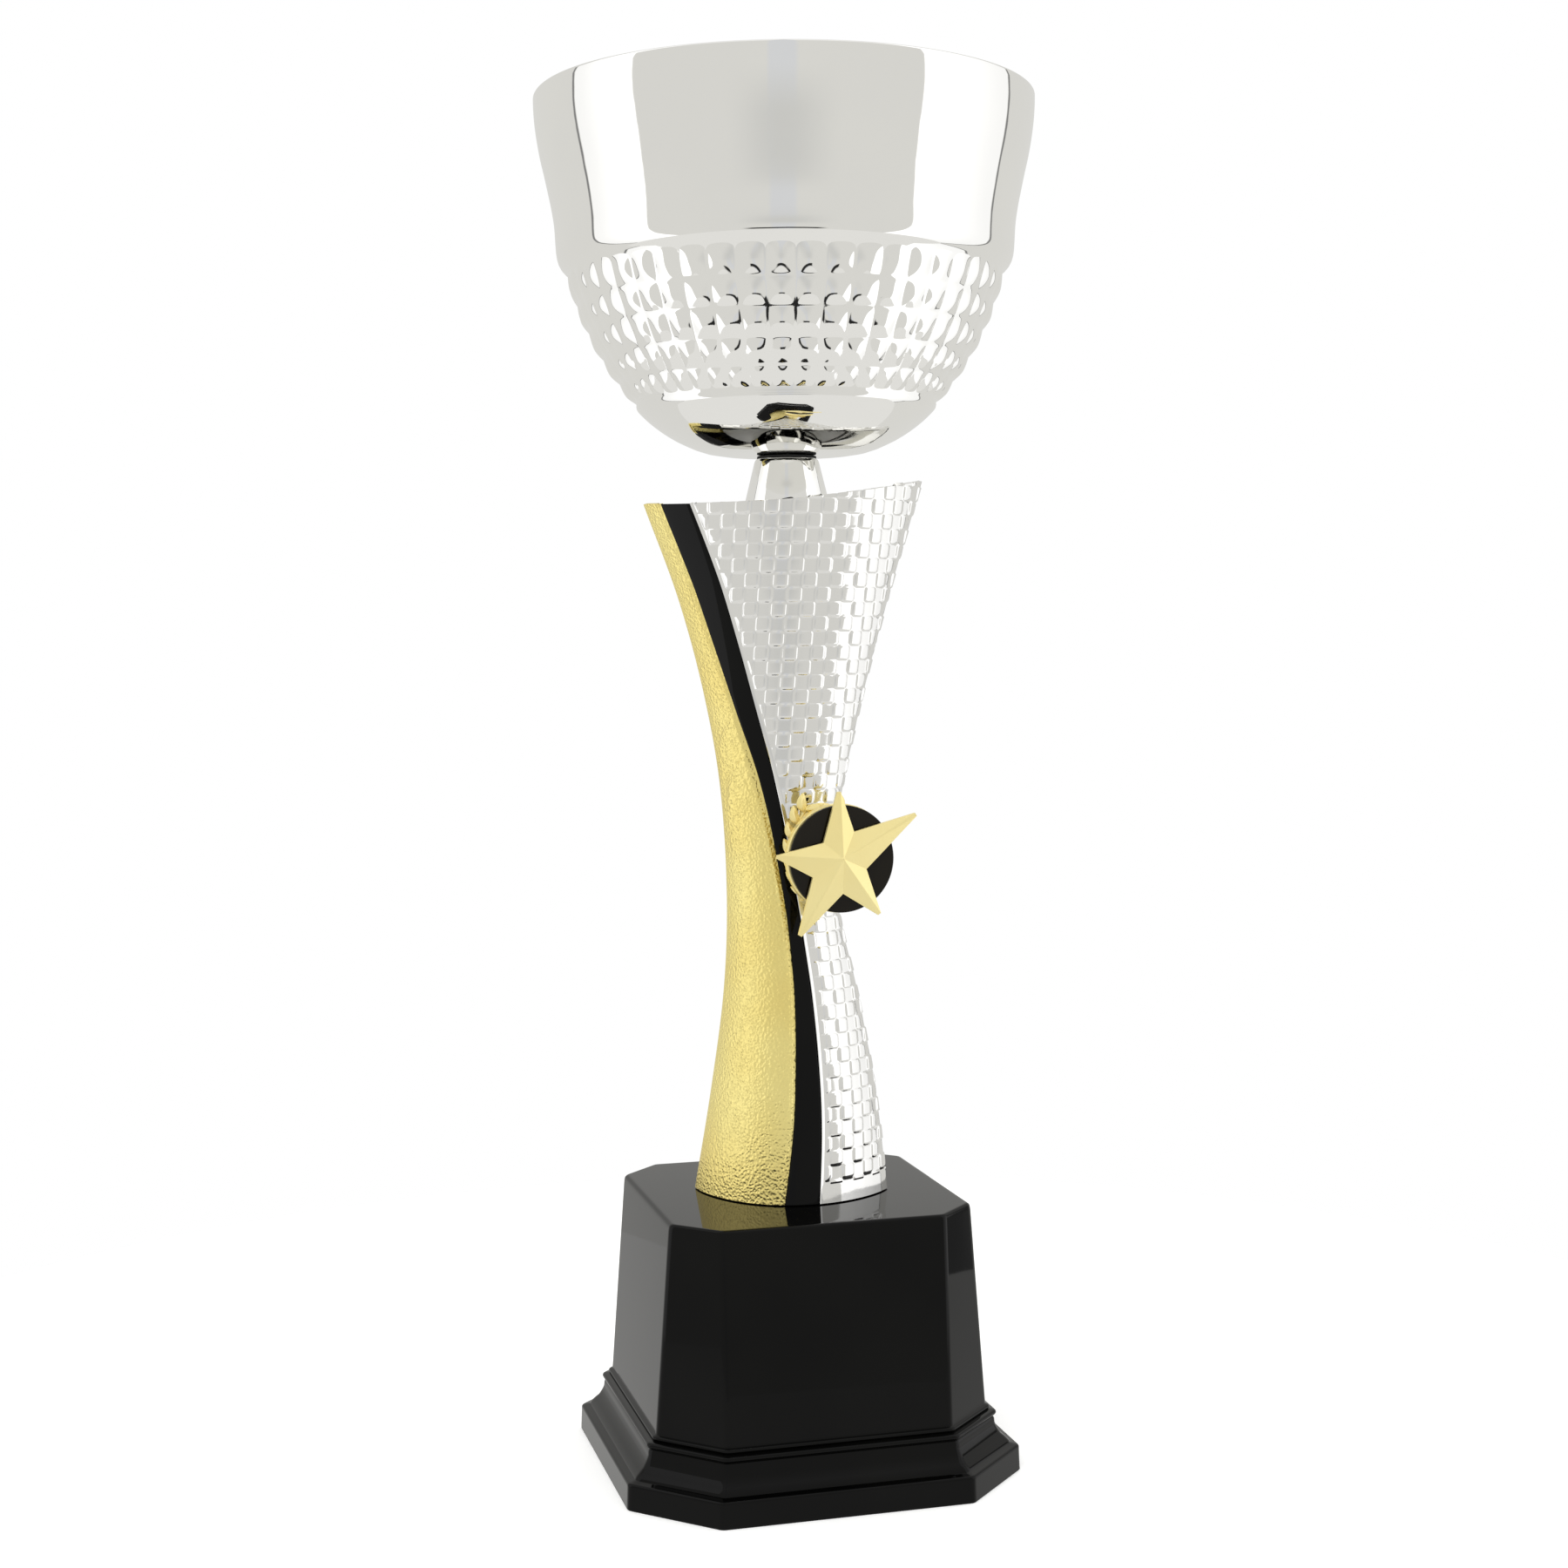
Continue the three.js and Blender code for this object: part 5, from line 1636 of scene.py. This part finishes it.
@dataclass
class Studio:
    """Pale floor, soft light and the camera."""

    floor_radius: float = 0.3
    lens: float = 54.396
    azimuth: float = -15.263
    distance: float = 578.48
    eye_height: float = 201.69
    pitch: float = -3.568
    roll: float = -0.467
    yaw: float = -0.127
    tent: tuple[float, float, float, float] = (0.70, 0.695, 0.67, 1)
    roof: tuple[float, float, float, float] = (0.9, 0.9, 0.89, 1)
    roof_lift: tuple[float, float] = (30, 80)
    patches: tuple[Patch, ...] = (
        Patch((0.66, 0.67, 0.69, 1), (-22, -9.5, 1.2)),
        Patch((0.6, 0.6, 0.585, 1), (-30, 0, 14), (-24, -4, 10)),
        Patch(grey(0.02), (-37, 7, 4), (-47, -41, 1)),
    )
    # Tall soft lights: where each starts and ends round the tent, from its near to its far side.
    tall_lights: tuple[tuple[float, float], ...] = ((-85.5, -122.5), (49.5, 105.7))
    tall_lift: tuple[float, float, float] = (-75, 62, 3)
    tall_bright: tuple[float, float] = (1.3, 1.0)
    tall_soft: float = 0.4
    seam_off: float = 1.2
    seam_half: float = 0.8
    seam_soft: float = 0.3
    seam: float = 0.22

    def camera(self) -> None:
        """Camera at the front, a little to the left."""
        a, yaw, pitch, roll = (math.radians(v) for v in (self.azimuth, self.yaw, self.pitch, self.roll))
        ahead = Vector((-math.sin(a), math.cos(a), 0))
        right = Vector((math.cos(a), math.sin(a), 0))
        up = Vector((0, 0, 1))
        ahead, right = (ahead * math.cos(yaw) + right * math.sin(yaw),
                        right * math.cos(yaw) - ahead * math.sin(yaw))
        ahead, up = (ahead * math.cos(pitch) + up * math.sin(pitch),
                     up * math.cos(pitch) - ahead * math.sin(pitch))
        right, up = (right * math.cos(roll) + up * math.sin(roll),
                     up * math.cos(roll) - right * math.sin(roll))
        data = bpy.data.cameras.new("studio_camera")
        data.lens, data.sensor_width = self.lens, 36
        data.clip_start, data.clip_end = 0.01, 20
        made = bpy.data.objects.new("studio_camera", data)
        bpy.context.scene.collection.objects.link(made)
        place = Vector((math.sin(a) * self.distance, -math.cos(a) * self.distance, self.eye_height)) * MM
        turn = Matrix((right, up, -ahead)).transposed().to_4x4()
        made.matrix_world = Matrix.Translation(place) @ turn
        bpy.context.scene.camera = made

    def floor(self) -> None:
        """Round pale floor."""
        around, under = np.linspace(0, TURN, 96, endpoint=False), -0.02
        rings = [[(r * math.cos(a), r * math.sin(a), under) for a in around]
                 for r in (1, 60, 120, 200, self.floor_radius / MM)]
        made = Stock.loft("studio_floor", np.array(rings))
        material = bpy.data.materials.new("pale_floor")
        material.use_nodes = True
        tree = Tree(material.node_tree)
        shader = material.node_tree.nodes["Principled BSDF"]
        place = tree.add("TexCoord").outputs["Object"]
        tone = tree.add("Group", {"Place": place, "Colour": (0.86, 0.86, 0.855, 1),
                                  "Drift": (0.84, 0.84, 0.835, 1), "Scale": 6.0},
                        node_tree=Effects.TONE.group())
        shader.inputs["Roughness"].default_value = 0.75
        shader.inputs["Specular IOR Level"].default_value = 0.1
        material.node_tree.links.new(tone.outputs[0], shader.inputs["Base Color"])
        shader.inputs["Emission Color"].default_value = (1, 1, 1, 1)
        shader.inputs["Emission Strength"].default_value = 0.3
        dim = tree.add("Emission", {"Color": (0.775, 0.77, 0.75, 1), "Strength": 1.0})
        seen = tree.add("LightPath").outputs["Is Camera Ray"]
        both = tree.add("MixShader", {0: seen, 1: dim.outputs[0], 2: shader.outputs[0]})
        target = material.node_tree.nodes["Material Output"].inputs["Surface"]
        material.node_tree.links.new(both.outputs[0], target)
        made.data.materials.append(material)

    def surroundings(self) -> None:
        """Pale tent with a tall soft light on each side."""
        world = bpy.data.worlds.new("light_tent")
        world.use_nodes = True
        bpy.context.scene.world = world
        tree = Tree(world.node_tree)
        back = world.node_tree.nodes["Background"]
        way = tree.add("SeparateXYZ", {0: tree.add("TexCoord").outputs["Generated"]})
        turn = tree.math("DEGREES", tree.math("ARCTAN2", way.outputs["X"],
                                              tree.math("MULTIPLY", way.outputs["Y"], -1.0)))
        lift = tree.math("DEGREES", tree.math("ARCSINE", way.outputs["Z"]))
        colour: object = tree.mix(tree.span(lift, *self.roof_lift), self.tent, self.roof)
        for patch in self.patches:
            mask = tree.window(turn, *patch.round)
            if patch.up:
                mask = tree.math("MULTIPLY", mask, tree.window(lift, *patch.up))
            colour = tree.mix(mask, colour, patch.colour)
        tall = tree.window(lift, *self.tall_lift)
        near, far = (grey(value) for value in self.tall_bright)
        for inner, outer in self.tall_lights:
            low, high = min(inner, outer), max(inner, outer)
            lit = tree.math("MULTIPLY", tree.window(turn, low, high, self.tall_soft), tall)
            colour = tree.mix(lit, colour, tree.mix(tree.span(turn, inner, outer), near, far))
            edge = outer + math.copysign(self.seam_off, outer)
            seam = tree.window(turn, edge - self.seam_half, edge + self.seam_half, self.seam_soft)
            colour = tree.mix(tree.math("MULTIPLY", seam, tall), colour, grey(self.seam))
        seen = tree.add("LightPath").outputs["Is Camera Ray"]
        colour = tree.mix(seen, colour, grey(1.0))
        world.node_tree.links.new(colour, back.inputs["Color"])

    def lights(self) -> None:
        """Soft light from above and in front."""
        for name, place, size, power in (("key_softbox", (-0.5, -0.7, 0.9), 0.5, 4.0),
                                         ("top_softbox", (0.1, 0.1, 1.1), 0.7, 3.0)):
            data = bpy.data.lights.new(name, "AREA")
            data.shape, data.size, data.energy = "SQUARE", size, power
            made = bpy.data.objects.new(name, data)
            bpy.context.scene.collection.objects.link(made)
            made.location = place
            made.visible_glossy = False
            away = Vector((0, 0, 0.15)) - Vector(place)
            made.rotation_euler = away.to_track_quat("-Z", "Y").to_euler()

    def build(self) -> None:
        """Sets up the whole studio."""
        bpy.context.scene.view_settings.view_transform = "Standard"
        self.camera()
        self.floor()
        self.surroundings()
        self.lights()
        LOG.info("studio ready")


def main() -> None:
    """Builds the studio and every sub-assembly in order."""
    logging.basicConfig(level=logging.INFO, format="%(name)s: %(message)s")
    bench = Bench()
    Studio().build()
    for part in (Base(), Column(), Badge(), Cup()):
        part.build(bench)


if __name__ == "__main__":
    main()
